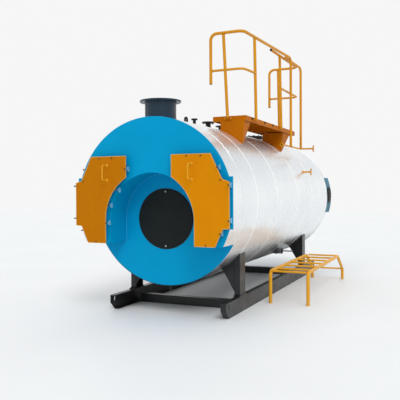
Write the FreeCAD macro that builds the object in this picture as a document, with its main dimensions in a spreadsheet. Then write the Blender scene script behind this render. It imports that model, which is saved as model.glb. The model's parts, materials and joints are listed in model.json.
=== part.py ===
import FreeCAD, Part

import math
import os

import Sketcher

# Horizontal three-pass fire-tube boiler on a skid, with its front doors, flue neck,
# roof platform and the access ladder that lies beside the skid.
# Millimetres, +Z up, +Y from the burner end to the rear, +X to the platform side.
# The origin is on the floor, under the boiler's axis, at the front cross member.

Vector = FreeCAD.Vector
doc = FreeCAD.newDocument("Boiler")
sheet = doc.addObject("Spreadsheet::Sheet", "Dims")

DIMENSIONS = {
    # casing and vessel
    "axis_height": 1428,
    "casing_radius": 1050,
    "casing_wall": 50,
    "front_plane": -700,
    "casing_length": 4820,
    "plate_thickness": 16,
    "strap_width": 30,
    "strap_rise": 3,
    "strap_1_y": -175,
    "strap_2_y": 727,
    "strap_3_y": 1880,
    "strap_4_y": 2844,
    "strap_5_y": 4024,
    # smokebox over the front plate
    "smokebox_depth": 380,
    "smokebox_skin": 20,
    "smokebox_foot": 930,
    "ear_half": 1052,
    "ear_low": 1135,
    "ear_top": 1741,
    "arch_centre": 1223,
    "arch_radius": 578,
    # cleaning doors
    "door_top": 2006,
    "door_inner": 308,
    "door_shoulder_x": 809,
    "door_elbow_x": 951,
    "door_elbow_z": 1712,
    "door_outer": 1040,
    "door_outer_top": 1680,
    "door_outer_low": 1145,
    "door_knee_x": 958,
    "door_knee_z": 1138,
    "door_foot_x": 863,
    "door_arch_radius": 602,
    "door_thickness": 14,
    "neck_depth": 65,
    "neck_inset": 28,
    "handle_x": 575,
    "handle_z": 1802,
    "handle_length": 184,
    "handle_reach": 105,
    "handle_rod": 8,
    "handle_bend": 24,
    "shoulder_share": 0.63,
    "elbow_share": 0.8,
    "knee_share": 0.6,
    # burner opening
    "burner_hole": 320,
    "burner_cover": 379,
    "burner_cover_thickness": 12,
    # flue
    "flue_y": -821,
    "flue_radius": 195,
    "flue_wall": 10,
    "flue_way": 189,
    "flue_way_low": 2400,
    "flue_top": 2696,
    "flue_flange_radius": 257,
    "flue_flange_thickness": 20,
    "flue_bolt_circle": 232,
    "flue_bolt_hole": 9,
    "flue_bolt_count": 12,
    # roof fittings
    "lug_front_y": -80,
    "lug_rear_y": 3720,
    "lug_width": 90,
    "lug_height": 105,
    "lug_thickness": 20,
    "lug_eye": 25,
    "relief_y": 193,
    "relief_stem": 22,
    "relief_flange": 45,
    "relief_top": 2585,
    "steam_y": 686,
    "steam_stem": 38,
    "steam_bore": 27,
    "steam_way": 31,
    "steam_flange": 92,
    "steam_top": 2590,
    "steam_bolt_circle": 72,
    "nozzle_bolt_hole": 9,
    "vent_y": 1190,
    "vent_stem": 38,
    "vent_flange": 82,
    "vent_top": 2580,
    "nozzle_flange_thickness": 18,
    "manhole_y": 2690,
    "manhole_radius": 120,
    "manhole_top": 2490,
    "manhole_cover": 147,
    "manhole_cover_thickness": 20,
    "feed_y": 3180,
    "feed_radius": 47,
    "feed_top": 2545,
    # skid
    "rail_height": 200,
    "rail_width": 75,
    "rail_web": 9,
    "rail_flange": 11,
    "rail_outer": 823,
    "rail_front": -720,
    "rail_back": 4000,
    "rail_nose": 100,
    "rail_slot_y": 85,
    "rail_slot_width": 26,
    "rail_slot_low": 110,
    "rail_slot_length": 60,
    "cross_height": 118,
    "cross_width": 100,
    "cross_wall": 8,
    "cross_rear_y": 3300,
    "leg_depth": 200,
    "leg_web": 10,
    "leg_flange": 78,
    "leg_flange_wall": 11,
    "leg_outer": 813,
    "leg_front_y": -195,
    "leg_rear_y": 3098,
    "gusset_thickness": 12,
    "gusset_reach": 175,
    "gusset_low": 262,
    "gusset_mid": 560,
    # platform
    "deck_front": 224,
    "deck_length": 2566,
    "deck_left": 270,
    "deck_right": 756,
    "deck_top": 2598,
    "deck_plate": 5,
    "deck_frame_height": 67,
    "deck_frame_wall": 8,
    "joist_height": 50,
    "joist_width": 48,
    "joist_count": 8,
    "bracket_front_reach": 250,
    "bracket_rear_reach": 410,
    "bracket_toe": 22,
    "bracket_rear_y": 2114,
    "bracket_left": 383,
    "bracket_right": 735,
    "bracket_tip": 700,
    "bracket_low": 2200,
    # guard rails
    "tube_radius": 21,
    "guard_top": 3738,
    "guard_mid": 3230,
    "guard_bend": 90,
    "guard_front_y": 203,
    "guard_rear_y": 2811,
    "guard_rear_top": 3716,
    "guard_left": 250,
    "guard_rear_left": 290,
    "guard_free_end": 3050,
    "guard_corner_x": 726,
    "guard_rear_corner_x": 800,
    "mid_share": 0.8,
    "mid_rear_z": 3200,
    "mid_rear_end_z": 3213,
    "post_low": 2570,
    "post_1_low_x": 496,
    "post_1_top_x": 440,
    "post_2_low_x": 777,
    "post_2_low_y": 592,
    "post_2_top_x": 756,
    "post_2_top_y": 598,
    "post_3_low_x": 777,
    "post_3_low_y": 1872,
    "post_3_top_x": 761,
    "post_3_top_y": 1845,
    "post_3_top_drop": 7,
    "post_4_low_x": 470,
    "post_4_top_x": 450,
    "mid_front_end_x": 765,
    "mid_front_end_y": 574,
    "mid_rear_end_x": 768,
    "mid_rear_end_y": 1879,
    "rail_end_x": 871,
    "rail_end_y": 2110,
    "rear_rail_start_x": 744,
    "rear_rail_start_y": 1426,
    "side_rail_x": 810,
    "side_rail_y": 2010,
    "side_rail_z": 3729,
    "side_post_x": 845,
    "side_post_y": 2872,
    "side_post_top": 3715,
    "hand_post_low": 2289,
    # ladder stand-offs
    "standoff_rod": 14,
    "standoff_x": 861,
    "standoff_sink": 5,
    "standoff_start_y": 1600,
    "standoff_bend": 160,
    "standoff_end_y": 2780,
    "standoff_pad_x": 1085,
    "standoff_pad": 115,
    "standoff_pad_width": 60,
    "standoff_pad_wall": 10,
    "standoff_low_z": 1880,
    "standoff_low_y": 2600,
    # access ladder lying beside the skid
    "ladder_tube": 24,
    "ladder_left": 1000,
    "ladder_right": 1530,
    "ladder_front_y": 530,
    "ladder_height": 450,
    "ladder_bend": 75,
    "ladder_back_y": 2640,
    "ladder_knee_y": 3085,
    "ladder_knee_z": 185,
    "rung_radius": 14,
    "rung_first_y": 545,
    "rung_second_y": 820,
    "rung_pitch": 380,
    # rear end
    "rear_box_depth": 400,
    "rear_box_top": 1800,
    "rear_box_low": 1130,
    "rear_box_radius": 1046,
    "rear_door_thickness": 14,
    "rear_door_half": 860,
    "rear_door_inset": 60,
    "port_z": 1465,
    "port_y": 4320,
    "port_radius": 112,
    "port_cover": 45,
    "port_sink": 25,
    # belly fittings
    "blowdown_x": 665,
    "blowdown_y": 2000,
    "valve_length": 175,
    "valve_width": 80,
    "valve_height": 88,
    "valve_low": 533,
    "valve_neck": 32,
    "blowdown_pipe": 11,
    "blowdown_pipe_length": 165,
    "belly_stub_y": 1900,
    "belly_stub": 24,
    "belly_stub_low": 330,
    "drain_x": 707,
    "drain_y": -910,
    "drain_radius": 17,
    "drain_low": 858,
    "front_drain_y": -560,
    "front_drain_low": 300,
}

for row, (alias, value) in enumerate(DIMENSIONS.items(), start=1):
    sheet.set(f"A{row}", alias.replace("_", " "))
    sheet.set(f"B{row}", str(value))
    sheet.setAlias(f"B{row}", alias)
doc.recompute()

subparts = {}


def size(alias):
    """One driving dimension, read from the sheet."""
    return float(sheet.get(alias))


def keep(node, piece):
    """Names a finished sub-part."""
    piece.Label = node
    subparts[node] = piece
    return piece


def place(piece, at):
    """Binds a piece's position to the sheet."""
    for axis, expression in zip("xyz", at):
        piece.setExpression(f".Placement.Base.{axis}", str(expression))
    return piece


def box(name, sizes, at):
    piece = doc.addObject("Part::Box", name)
    for side, expression in zip(("Length", "Width", "Height"), sizes):
        piece.setExpression(side, str(expression))
    return place(piece, at)


TURNS = {
    "x": FreeCAD.Rotation(Vector(0, 1, 0), 90),
    "y": FreeCAD.Rotation(Vector(1, 0, 0), -90),
    "z": FreeCAD.Rotation(),
}


def rod(name, radius, length, at, along="z"):
    """A cylinder that starts at a point and runs along +X, +Y or +Z."""
    piece = doc.addObject("Part::Cylinder", name)
    piece.setExpression("Radius", str(radius))
    piece.setExpression("Height", str(length))
    piece.Placement = FreeCAD.Placement(Vector(), TURNS[along])
    return place(piece, at)


def cut(name, base, *tools):
    for index, tool in enumerate(tools):
        piece = doc.addObject("Part::Cut", f"{name}_cut_{index}")
        piece.Base = base
        piece.Tool = tool
        base = piece
    return base


def fuse(name, *pieces):
    piece = doc.addObject("Part::MultiFuse", name)
    piece.Shapes = list(pieces)
    piece.Refine = True
    return piece


def group(name, *pieces):
    """Several separate solids in one sub-part."""
    piece = doc.addObject("Part::Compound", name)
    piece.Links = list(pieces)
    return piece


def mirrored(name, source):
    """The same piece on the other side of the boiler's axis."""
    piece = doc.addObject("Part::Mirroring", name)
    piece.Source = source
    piece.Base = Vector(0, 0, 0)
    piece.Normal = Vector(1, 0, 0)
    return piece


def ring(name, outer, inner, length, at, along="y"):
    solid = rod(f"{name}_outer", outer, length, at, along)
    bore = rod(f"{name}_bore", inner, length, at, along)
    return cut(name, solid, bore)


def origin_plane(body, role):
    return next(item for item in body.Origin.OriginFeatures if item.Role == role)


def plate(name, plane, outline, thickness, at):
    """A flat plate: an outline of points, each bound to the sheet, made thick."""
    body = doc.addObject("PartDesign::Body", name)
    sketch = body.newObject("Sketcher::SketchObject", f"{name}_outline")
    sketch.AttachmentSupport = [(origin_plane(body, plane), "")]
    sketch.MapMode = "FlatFace"
    count = len(outline)
    start = [
        Vector(math.cos(2 * math.pi * i / count), math.sin(2 * math.pi * i / count), 0) * 1000
        for i in range(count)
    ]
    for i in range(count):
        sketch.addGeometry(Part.LineSegment(start[i], start[(i + 1) % count]), False)
    for i in range(count):
        sketch.addConstraint(Sketcher.Constraint("Coincident", i, 2, (i + 1) % count, 1))
    for i, point in enumerate(outline):
        for kind, place_now, expression in zip(("DistanceX", "DistanceY"), start[i], point):
            number = sketch.addConstraint(Sketcher.Constraint(kind, -1, 1, i, 1, place_now))
            sketch.setExpression(f"Constraints[{number}]", str(expression))
    pad = body.newObject("PartDesign::Pad", f"{name}_pad")
    pad.Profile = sketch
    pad.setExpression("Length", str(thickness))
    pad.Reversed = plane == "XZ_Plane"
    body.Tip = pad
    return place(body, at)


def tube(name, points, bend, radius):
    """A bent round bar: straight runs joined by tangent arcs, read from the sheet."""
    points = [Vector(*point) for point in points]
    edges = []
    start = points[0]
    for before, corner, after in zip(points, points[1:], points[2:]):
        to_before = (before - corner).normalize()
        to_after = (after - corner).normalize()
        half = to_before.getAngle(to_after) / 2
        setback = bend / math.tan(half)
        middle = corner + (to_before + to_after).normalize() * (bend / math.sin(half) - bend)
        arc_start = corner + to_before * setback
        arc_end = corner + to_after * setback
        edges.append(Part.LineSegment(start, arc_start).toShape())
        edges.append(Part.Arc(arc_start, middle, arc_end).toShape())
        start = arc_end
    edges.append(Part.LineSegment(start, points[-1]).toShape())
    path = Part.Wire(edges)
    section = Part.Wire(Part.Circle(points[0], points[1] - points[0], radius).toShape())
    piece = doc.addObject("Part::Feature", name)
    piece.Shape = path.makePipeShell([section], True, False)
    return piece


def build_casing(flue_way):
    back_of_plate = "Dims.front_plane + Dims.plate_thickness"
    shell = ring(
        "shell",
        "Dims.casing_radius",
        "Dims.casing_radius - Dims.casing_wall",
        "Dims.casing_length - Dims.plate_thickness",
        (0, back_of_plate, "Dims.axis_height"),
    )
    steam_way = rod(
        "steam_way", "Dims.steam_way", "Dims.casing_radius", (0, "Dims.steam_y", "Dims.axis_height"),
    )
    keep("casing_shell", cut("drilled_shell", shell, flue_way, steam_way))
    straps = []
    for index in range(1, 6):
        straps.append(
            ring(
                f"strap_{index}",
                "Dims.casing_radius + Dims.strap_rise",
                "Dims.casing_radius",
                "Dims.strap_width",
                (0, f"Dims.strap_{index}_y", "Dims.axis_height"),
            )
        )
    keep("casing_straps", group("straps", *straps))
    disc = rod(
        "front_disc",
        "Dims.casing_radius",
        "Dims.plate_thickness",
        (0, "Dims.front_plane", "Dims.axis_height"),
        "y",
    )
    hole = rod(
        "burner_hole",
        "Dims.burner_hole",
        "Dims.plate_thickness",
        (0, "Dims.front_plane", "Dims.arch_centre"),
        "y",
    )
    keep("front_plate", cut("front_plate_body", disc, hole, flue_way))
    keep(
        "burner_plate",
        rod(
            "burner_plate_body",
            "Dims.burner_cover",
            "Dims.burner_cover_thickness",
            (0, "Dims.front_plane - Dims.burner_cover_thickness", "Dims.arch_centre"),
            "y",
        ),
    )
    keep(
        "rear_plate",
        rod(
            "rear_disc",
            "Dims.casing_radius",
            "Dims.plate_thickness",
            (0, "Dims.front_plane + Dims.casing_length", "Dims.axis_height"),
            "y",
        ),
    )


def build_smokebox(flue_way):
    face_y = "Dims.front_plane - Dims.smokebox_depth"
    below = box(
        "below_smokebox",
        ("Dims.casing_radius * 2", "Dims.smokebox_depth * 2", "Dims.smokebox_foot"),
        ("-Dims.casing_radius", f"{face_y} - Dims.smokebox_skin", 0),
    )
    arch_round = rod(
        "arch_round", "Dims.arch_radius", "Dims.smokebox_depth * 2",
        (0, f"{face_y} - Dims.smokebox_skin", "Dims.arch_centre"), "y",
    )
    arch_leg = box(
        "arch_leg",
        ("Dims.arch_radius * 2", "Dims.smokebox_depth * 2", "Dims.arch_centre"),
        ("-Dims.arch_radius", f"{face_y} - Dims.smokebox_skin", 0),
    )
    face = rod(
        "face_disc", "Dims.casing_radius", "Dims.smokebox_skin",
        (0, face_y, "Dims.axis_height"), "y",
    )
    ears = box(
        "face_ears",
        ("Dims.ear_half * 2", "Dims.smokebox_skin", "Dims.ear_top - Dims.ear_low"),
        ("-Dims.ear_half", face_y, "Dims.ear_low"),
    )
    keep("smokebox_face", cut("face", fuse("face_sheet", face, ears), below, arch_round, arch_leg))
    core = rod(
        "core_disc", "Dims.casing_radius - Dims.casing_wall", "Dims.smokebox_depth - Dims.smokebox_skin",
        (0, f"{face_y} + Dims.smokebox_skin", "Dims.axis_height"), "y",
    )
    keep("smokebox_body", cut("core", core, below, arch_round, arch_leg, flue_way))
    wrap = ring(
        "wrap", "Dims.casing_radius", "Dims.casing_radius - Dims.casing_wall",
        "Dims.smokebox_depth - Dims.smokebox_skin",
        (0, f"{face_y} + Dims.smokebox_skin", "Dims.axis_height"),
    )
    keep("smokebox_wrap", cut("wrap_top", wrap, below, flue_way))


def door_outline(inset):
    """The door's outline, drawn smaller by the inset on every straight side."""
    return [
        (f"Dims.door_inner + {inset}", f"Dims.door_top - {inset}"),
        (f"Dims.door_shoulder_x - {inset} * Dims.shoulder_share", f"Dims.door_top - {inset}"),
        (
            f"Dims.door_elbow_x - {inset} * Dims.elbow_share",
            f"Dims.door_elbow_z - {inset} * Dims.elbow_share",
        ),
        (f"Dims.door_outer - {inset}", f"Dims.door_outer_top - {inset} * Dims.elbow_share"),
        (f"Dims.door_outer - {inset}", f"Dims.door_outer_low + {inset}"),
        (f"Dims.door_knee_x - {inset} * Dims.knee_share", f"Dims.door_knee_z + {inset}"),
        (f"Dims.door_foot_x - {inset} * Dims.knee_share", f"Dims.smokebox_foot + {inset}"),
        (f"Dims.door_arch_radius + {inset}", f"Dims.smokebox_foot + {inset}"),
        (f"Dims.door_arch_radius + {inset}", "Dims.arch_centre"),
        (f"Dims.door_inner + {inset}", "Dims.arch_centre"),
    ]


def build_doors():
    face_y = "Dims.front_plane - Dims.smokebox_depth"
    layers = (
        ("door_neck", "Dims.neck_inset", "Dims.neck_depth", f"{face_y} - Dims.neck_depth"),
        ("door", "0", "Dims.door_thickness", f"{face_y} - Dims.neck_depth - Dims.door_thickness"),
    )
    for node, inset, thickness, front in layers:
        blank = plate(f"{node}_blank", "XZ_Plane", door_outline(inset), thickness, (0, front, 0))
        arch = rod(
            f"{node}_arch", f"Dims.door_arch_radius + {inset}", thickness,
            (0, front, "Dims.arch_centre"), "y",
        )
        right = cut(node, blank, arch)
        keep(f"{node}_right", right)
        keep(f"{node}_left", mirrored(f"{node}_left_body", right))
    door_front = size("front_plane") - size("smokebox_depth") - size("neck_depth") - size("door_thickness")
    half = size("handle_length") / 2
    low, high = size("handle_z") - half, size("handle_z") + half
    out = door_front - size("handle_reach")
    for side, sign in (("right", 1), ("left", -1)):
        across = sign * size("handle_x")
        points = [
            (across, door_front, high),
            (across, out, high),
            (across, out, low),
            (across, door_front, low),
        ]
        keep(f"door_handle_{side}", tube(f"handle_{side}", points, size("handle_bend"), size("handle_rod")))


def build_flue():
    at = (0, "Dims.flue_y", "Dims.axis_height")
    height = "Dims.flue_top - Dims.axis_height - Dims.flue_flange_thickness"
    neck = rod("flue_outer", "Dims.flue_radius", height, at)
    bore = rod("flue_bore", "Dims.flue_radius - Dims.flue_wall", height, at)
    vessel = rod(
        "flue_root", "Dims.casing_radius", "Dims.smokebox_depth * 2",
        (0, "Dims.front_plane - Dims.smokebox_depth", "Dims.axis_height"), "y",
    )
    keep("flue_neck", cut("flue_neck_body", neck, bore, vessel))
    flange_z = "Dims.flue_top - Dims.flue_flange_thickness"
    disc = rod(
        "flue_disc", "Dims.flue_flange_radius", "Dims.flue_flange_thickness",
        (0, "Dims.flue_y", flange_z),
    )
    tools = [
        rod("flue_disc_bore", "Dims.flue_radius - Dims.flue_wall", "Dims.flue_flange_thickness",
            (0, "Dims.flue_y", flange_z))
    ]
    count = int(size("flue_bolt_count"))
    for index in range(count):
        angle = (index + 0.5) * 360 / count
        tools.append(
            rod(
                f"flue_hole_{index}", "Dims.flue_bolt_hole", "Dims.flue_flange_thickness",
                (
                    f"Dims.flue_bolt_circle * cos({angle} deg)",
                    f"Dims.flue_y + Dims.flue_bolt_circle * sin({angle} deg)",
                    flange_z,
                ),
            )
        )
    keep("flue_flange", cut("flue_flange_body", disc, *tools))


def flanged_stub(node, position, stem, flange, top):
    """A short pipe with a round flange, standing on the crown of the casing."""
    pipe = rod(f"{node}_pipe", stem, f"{top} - Dims.axis_height", (0, position, "Dims.axis_height"))
    disc = rod(
        f"{node}_disc", flange, "Dims.nozzle_flange_thickness",
        (0, position, f"{top} - Dims.nozzle_flange_thickness"),
    )
    vessel = rod(
        f"{node}_root", "Dims.casing_radius", f"{flange} * 4",
        (0, f"{position} - {flange} * 2", "Dims.axis_height"), "y",
    )
    return cut(node, fuse(f"{node}_solid", pipe, disc), vessel)


def build_roof_fittings():
    keep(
        "relief_nozzle",
        flanged_stub("relief", "Dims.relief_y", "Dims.relief_stem", "Dims.relief_flange", "Dims.relief_top"),
    )
    steam = flanged_stub("steam", "Dims.steam_y", "Dims.steam_stem", "Dims.steam_flange", "Dims.steam_top")
    tools = [
        rod(
            "steam_bore", "Dims.steam_bore", "Dims.steam_top - Dims.axis_height",
            (0, "Dims.steam_y", "Dims.axis_height"),
        ),
    ]
    for index in range(4):
        tools.append(
            rod(
                f"steam_hole_{index}", "Dims.nozzle_bolt_hole", "Dims.nozzle_flange_thickness",
                (
                    f"Dims.steam_bolt_circle * cos({90 * index + 45} deg)",
                    f"Dims.steam_y + Dims.steam_bolt_circle * sin({90 * index + 45} deg)",
                    "Dims.steam_top - Dims.nozzle_flange_thickness",
                ),
            )
        )
    keep("steam_nozzle", cut("steam_drilled", steam, *tools))
    keep(
        "vent_nozzle",
        flanged_stub("vent", "Dims.vent_y", "Dims.vent_stem", "Dims.vent_flange", "Dims.vent_top"),
    )
    vessel = rod(
        "manhole_root", "Dims.casing_radius", "Dims.casing_length",
        (0, "Dims.front_plane", "Dims.axis_height"), "y",
    )
    ring_solid = rod(
        "manhole_ring_solid", "Dims.manhole_radius", "Dims.manhole_top - Dims.axis_height",
        (0, "Dims.manhole_y", "Dims.axis_height"),
    )
    keep("manhole_ring", cut("manhole_ring_body", ring_solid, vessel))
    keep(
        "manhole_cover",
        rod(
            "manhole_cover_body", "Dims.manhole_cover", "Dims.manhole_cover_thickness",
            (0, "Dims.manhole_y", "Dims.manhole_top"),
        ),
    )
    feed = rod(
        "feed_pipe", "Dims.feed_radius", "Dims.feed_top - Dims.axis_height",
        (0, "Dims.feed_y", "Dims.axis_height"),
    )
    keep("feed_nozzle", cut("feed_body", feed, vessel))
    lugs = []
    for name, position in (("front", "Dims.lug_front_y"), ("rear", "Dims.lug_rear_y")):
        eye_z = "Dims.axis_height + Dims.casing_radius + Dims.lug_height - Dims.lug_width / 2"
        stem = box(
            f"lug_{name}_stem",
            ("Dims.lug_thickness", "Dims.lug_width", f"{eye_z} - Dims.axis_height"),
            ("-Dims.lug_thickness / 2", f"{position} - Dims.lug_width / 2", "Dims.axis_height"),
        )
        head = rod(
            f"lug_{name}_head", "Dims.lug_width / 2", "Dims.lug_thickness",
            ("-Dims.lug_thickness / 2", position, eye_z), "x",
        )
        eye = rod(
            f"lug_{name}_eye", "Dims.lug_eye", "Dims.lug_thickness",
            ("-Dims.lug_thickness / 2", position, eye_z), "x",
        )
        lugs.append(cut(f"lug_{name}", fuse(f"lug_{name}_solid", stem, head), eye, vessel))
    keep("lifting_lugs", group("lugs", *lugs))


def build_skid():
    height, width = "Dims.rail_height", "Dims.rail_width"
    rail = plate(
        "rail_profile", "YZ_Plane",
        [
            ("Dims.rail_front", "Dims.rail_height"),
            ("Dims.rail_front", "Dims.rail_nose"),
            ("Dims.rail_front + Dims.rail_nose", "0"),
            ("Dims.rail_back - Dims.rail_nose", "0"),
            ("Dims.rail_back", "Dims.rail_nose"),
            ("Dims.rail_back", "Dims.rail_height"),
        ],
        width,
        ("Dims.rail_outer - Dims.rail_width", 0, 0),
    )
    hollow = box(
        "rail_hollow",
        (f"{width} - Dims.rail_web", "Dims.rail_back - Dims.rail_front", f"{height} - 2 * Dims.rail_flange"),
        (f"Dims.rail_outer - {width}", "Dims.rail_front", "Dims.rail_flange"),
    )
    tools = [hollow]
    for name, position in (
        ("front", "Dims.rail_front + Dims.rail_slot_y"),
        ("rear", "Dims.rail_back - Dims.rail_slot_y - Dims.rail_slot_width"),
    ):
        tools.append(
            box(
                f"rail_slot_{name}",
                (width, "Dims.rail_slot_width", "Dims.rail_slot_length"),
                (f"Dims.rail_outer - {width}", position, "Dims.rail_slot_low"),
            )
        )
    right = cut("rail", rail, *tools)
    keep("skid_rail_right", right)
    keep("skid_rail_left", mirrored("rail_left", right))
    span = "2 * (Dims.rail_outer - Dims.rail_width)"
    for name, middle in (("front", "0"), ("rear", "Dims.cross_rear_y")):
        solid = box(
            f"cross_{name}_solid", (span, "Dims.cross_width", "Dims.cross_height"),
            ("-(Dims.rail_outer - Dims.rail_width)", f"{middle} - Dims.cross_width / 2", 0),
        )
        inside = box(
            f"cross_{name}_inside",
            (span, "Dims.cross_width - 2 * Dims.cross_wall", "Dims.cross_height - 2 * Dims.cross_wall"),
            (
                "-(Dims.rail_outer - Dims.rail_width)",
                f"{middle} - Dims.cross_width / 2 + Dims.cross_wall",
                "Dims.cross_wall",
            ),
        )
        keep(f"skid_cross_{name}", cut(f"cross_{name}", solid, inside))


def build_legs():
    vessel = rod(
        "leg_root", "Dims.casing_radius", "Dims.casing_length",
        (0, "Dims.front_plane", "Dims.axis_height"), "y",
    )
    for name, front in (("front", "Dims.leg_front_y"), ("rear", "Dims.leg_rear_y")):
        height = "Dims.axis_height - Dims.rail_height"
        solid = box(
            f"leg_{name}_solid", ("Dims.leg_flange", "Dims.leg_depth", height),
            ("Dims.leg_outer - Dims.leg_flange", front, "Dims.rail_height"),
        )
        inside = box(
            f"leg_{name}_inside",
            ("Dims.leg_flange - Dims.leg_web", "Dims.leg_depth - 2 * Dims.leg_flange_wall", height),
            ("Dims.leg_outer - Dims.leg_flange", f"{front} + Dims.leg_flange_wall", "Dims.rail_height"),
        )
        right = cut(f"leg_{name}", solid, inside, vessel)
        keep(f"leg_{name}_right", right)
        keep(f"leg_{name}_left", mirrored(f"leg_{name}_left_body", right))
        inner = "Dims.leg_outer - Dims.leg_flange"
        blank = plate(
            f"gusset_{name}_blank", "XZ_Plane",
            [
                (inner, "Dims.gusset_low"),
                (inner, "Dims.axis_height"),
                (f"{inner} - Dims.gusset_reach", "Dims.axis_height"),
                (f"{inner} - Dims.gusset_reach", "Dims.gusset_mid"),
            ],
            "Dims.gusset_thickness", (0, front, 0),
        )
        web = cut(f"gusset_{name}", blank, vessel)
        pair = group(f"gussets_{name}_pair", web, mirrored(f"gusset_{name}_left", web))
        keep(f"gussets_{name}", pair)


def build_platform():
    vessel = rod(
        "bracket_root", "Dims.casing_radius", "Dims.casing_length",
        (0, "Dims.front_plane", "Dims.axis_height"), "y",
    )
    under = "Dims.deck_top - Dims.deck_plate - Dims.deck_frame_height"
    for name, front in (("front", "Dims.deck_front"), ("rear", "Dims.bracket_rear_y")):
        reach = f"Dims.bracket_{name}_reach"
        face = plate(
            f"bracket_{name}_face", "XZ_Plane",
            [
                ("Dims.bracket_left", under),
                ("Dims.bracket_right", under),
                ("Dims.bracket_tip", "Dims.bracket_low"),
                ("Dims.bracket_left", "Dims.bracket_low"),
            ],
            reach, (0, front, 0),
        )
        side = plate(
            f"bracket_{name}_side", "YZ_Plane",
            [
                (front, under),
                (f"{front} + {reach}", under),
                (f"{front} + Dims.bracket_toe", "Dims.bracket_low"),
                (front, "Dims.bracket_low"),
            ],
            "Dims.bracket_right - Dims.bracket_left", ("Dims.bracket_left", 0, 0),
        )
        wedge = doc.addObject("Part::Common", f"bracket_{name}_blank")
        wedge.Base = face
        wedge.Tool = side
        keep(f"platform_bracket_{name}", cut(f"bracket_{name}", wedge, vessel))
    width = "Dims.deck_right - Dims.deck_left"
    solid = box(
        "frame_solid", (width, "Dims.deck_length", "Dims.deck_frame_height"),
        ("Dims.deck_left", "Dims.deck_front", under),
    )
    inside = box(
        "frame_inside",
        (
            f"{width} - 2 * Dims.deck_frame_wall",
            "Dims.deck_length - 2 * Dims.deck_frame_wall",
            "Dims.deck_frame_height",
        ),
        ("Dims.deck_left + Dims.deck_frame_wall", "Dims.deck_front + Dims.deck_frame_wall", under),
    )
    keep("platform_frame", cut("frame", solid, inside))
    keep(
        "platform_deck",
        box("deck", (width, "Dims.deck_length", "Dims.deck_plate"),
            ("Dims.deck_left", "Dims.deck_front", "Dims.deck_top - Dims.deck_plate")),
    )
    joists = []
    count = int(size("joist_count"))
    for index in range(count):
        joists.append(
            box(
                f"joist_{index}",
                (f"{width} - 2 * Dims.deck_frame_wall", "Dims.joist_width", "Dims.joist_height"),
                (
                    "Dims.deck_left + Dims.deck_frame_wall",
                    f"Dims.deck_front + Dims.deck_length * {index + 1} / {count + 1}",
                    "Dims.deck_top - Dims.deck_plate - Dims.joist_height",
                ),
            )
        )
    keep("platform_joists", group("joists", *joists))


def build_guards():
    radius, bend = size("tube_radius"), size("guard_bend")
    top, middle, free_end = size("guard_top"), size("guard_mid"), size("guard_free_end")
    front, rear, rear_top = size("guard_front_y"), size("guard_rear_y"), size("guard_rear_top")
    left, corner = size("guard_left"), size("guard_corner_x")
    end_x, end_y, hand_low = size("rail_end_x"), size("rail_end_y"), size("hand_post_low")
    thin = radius * size("mid_share")
    path = [
        (left, front, free_end),
        (left, front, top),
        (corner, front, top),
        (end_x, end_y, top),
        (end_x, end_y, hand_low),
    ]
    keep("guard_rail_front", tube("guard_front_tube", path, bend, radius))
    path = [
        (left + radius, front, middle),
        (corner, front, middle),
        (size("mid_front_end_x"), size("mid_front_end_y"), middle),
    ]
    keep("guard_mid_front", tube("guard_mid_front_tube", path, bend, thin))
    side_x, side_y = size("side_post_x"), size("side_post_y")
    path = [
        (size("side_rail_x"), size("side_rail_y"), size("side_rail_z")),
        (side_x, side_y, size("side_post_top")),
        (side_x, side_y, hand_low),
    ]
    keep("guard_rail_side", tube("guard_side_tube", path, bend, radius))
    rear_left, rear_corner = size("guard_rear_left"), size("guard_rear_corner_x")
    path = [
        (rear_left, rear, free_end),
        (rear_left, rear, rear_top),
        (rear_corner, rear, rear_top),
        (size("rear_rail_start_x"), size("rear_rail_start_y"), top),
    ]
    keep("guard_rail_rear", tube("guard_rear_tube", path, bend, radius))
    path = [
        (rear_left + radius, rear, size("mid_rear_z")),
        (rear_corner, rear, size("mid_rear_z")),
        (size("mid_rear_end_x"), size("mid_rear_end_y"), size("mid_rear_end_z")),
    ]
    keep("guard_mid_rear", tube("guard_mid_rear_tube", path, bend, thin))
    low, under_rail = size("post_low"), top - radius
    third_top = under_rail - size("post_3_top_drop")
    lines = (
        ((size("post_1_low_x"), front, low), (size("post_1_top_x"), front, under_rail)),
        (
            (size("post_2_low_x"), size("post_2_low_y"), low),
            (size("post_2_top_x"), size("post_2_top_y"), under_rail),
        ),
        (
            (size("post_3_low_x"), size("post_3_low_y"), low),
            (size("post_3_top_x"), size("post_3_top_y"), third_top),
        ),
        ((size("post_4_low_x"), rear, low), (size("post_4_top_x"), rear, rear_top - radius)),
    )
    posts = [tube(f"post_{index}", line, bend, radius) for index, line in enumerate(lines, start=1)]
    keep("guard_posts", group("posts", *posts))


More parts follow.
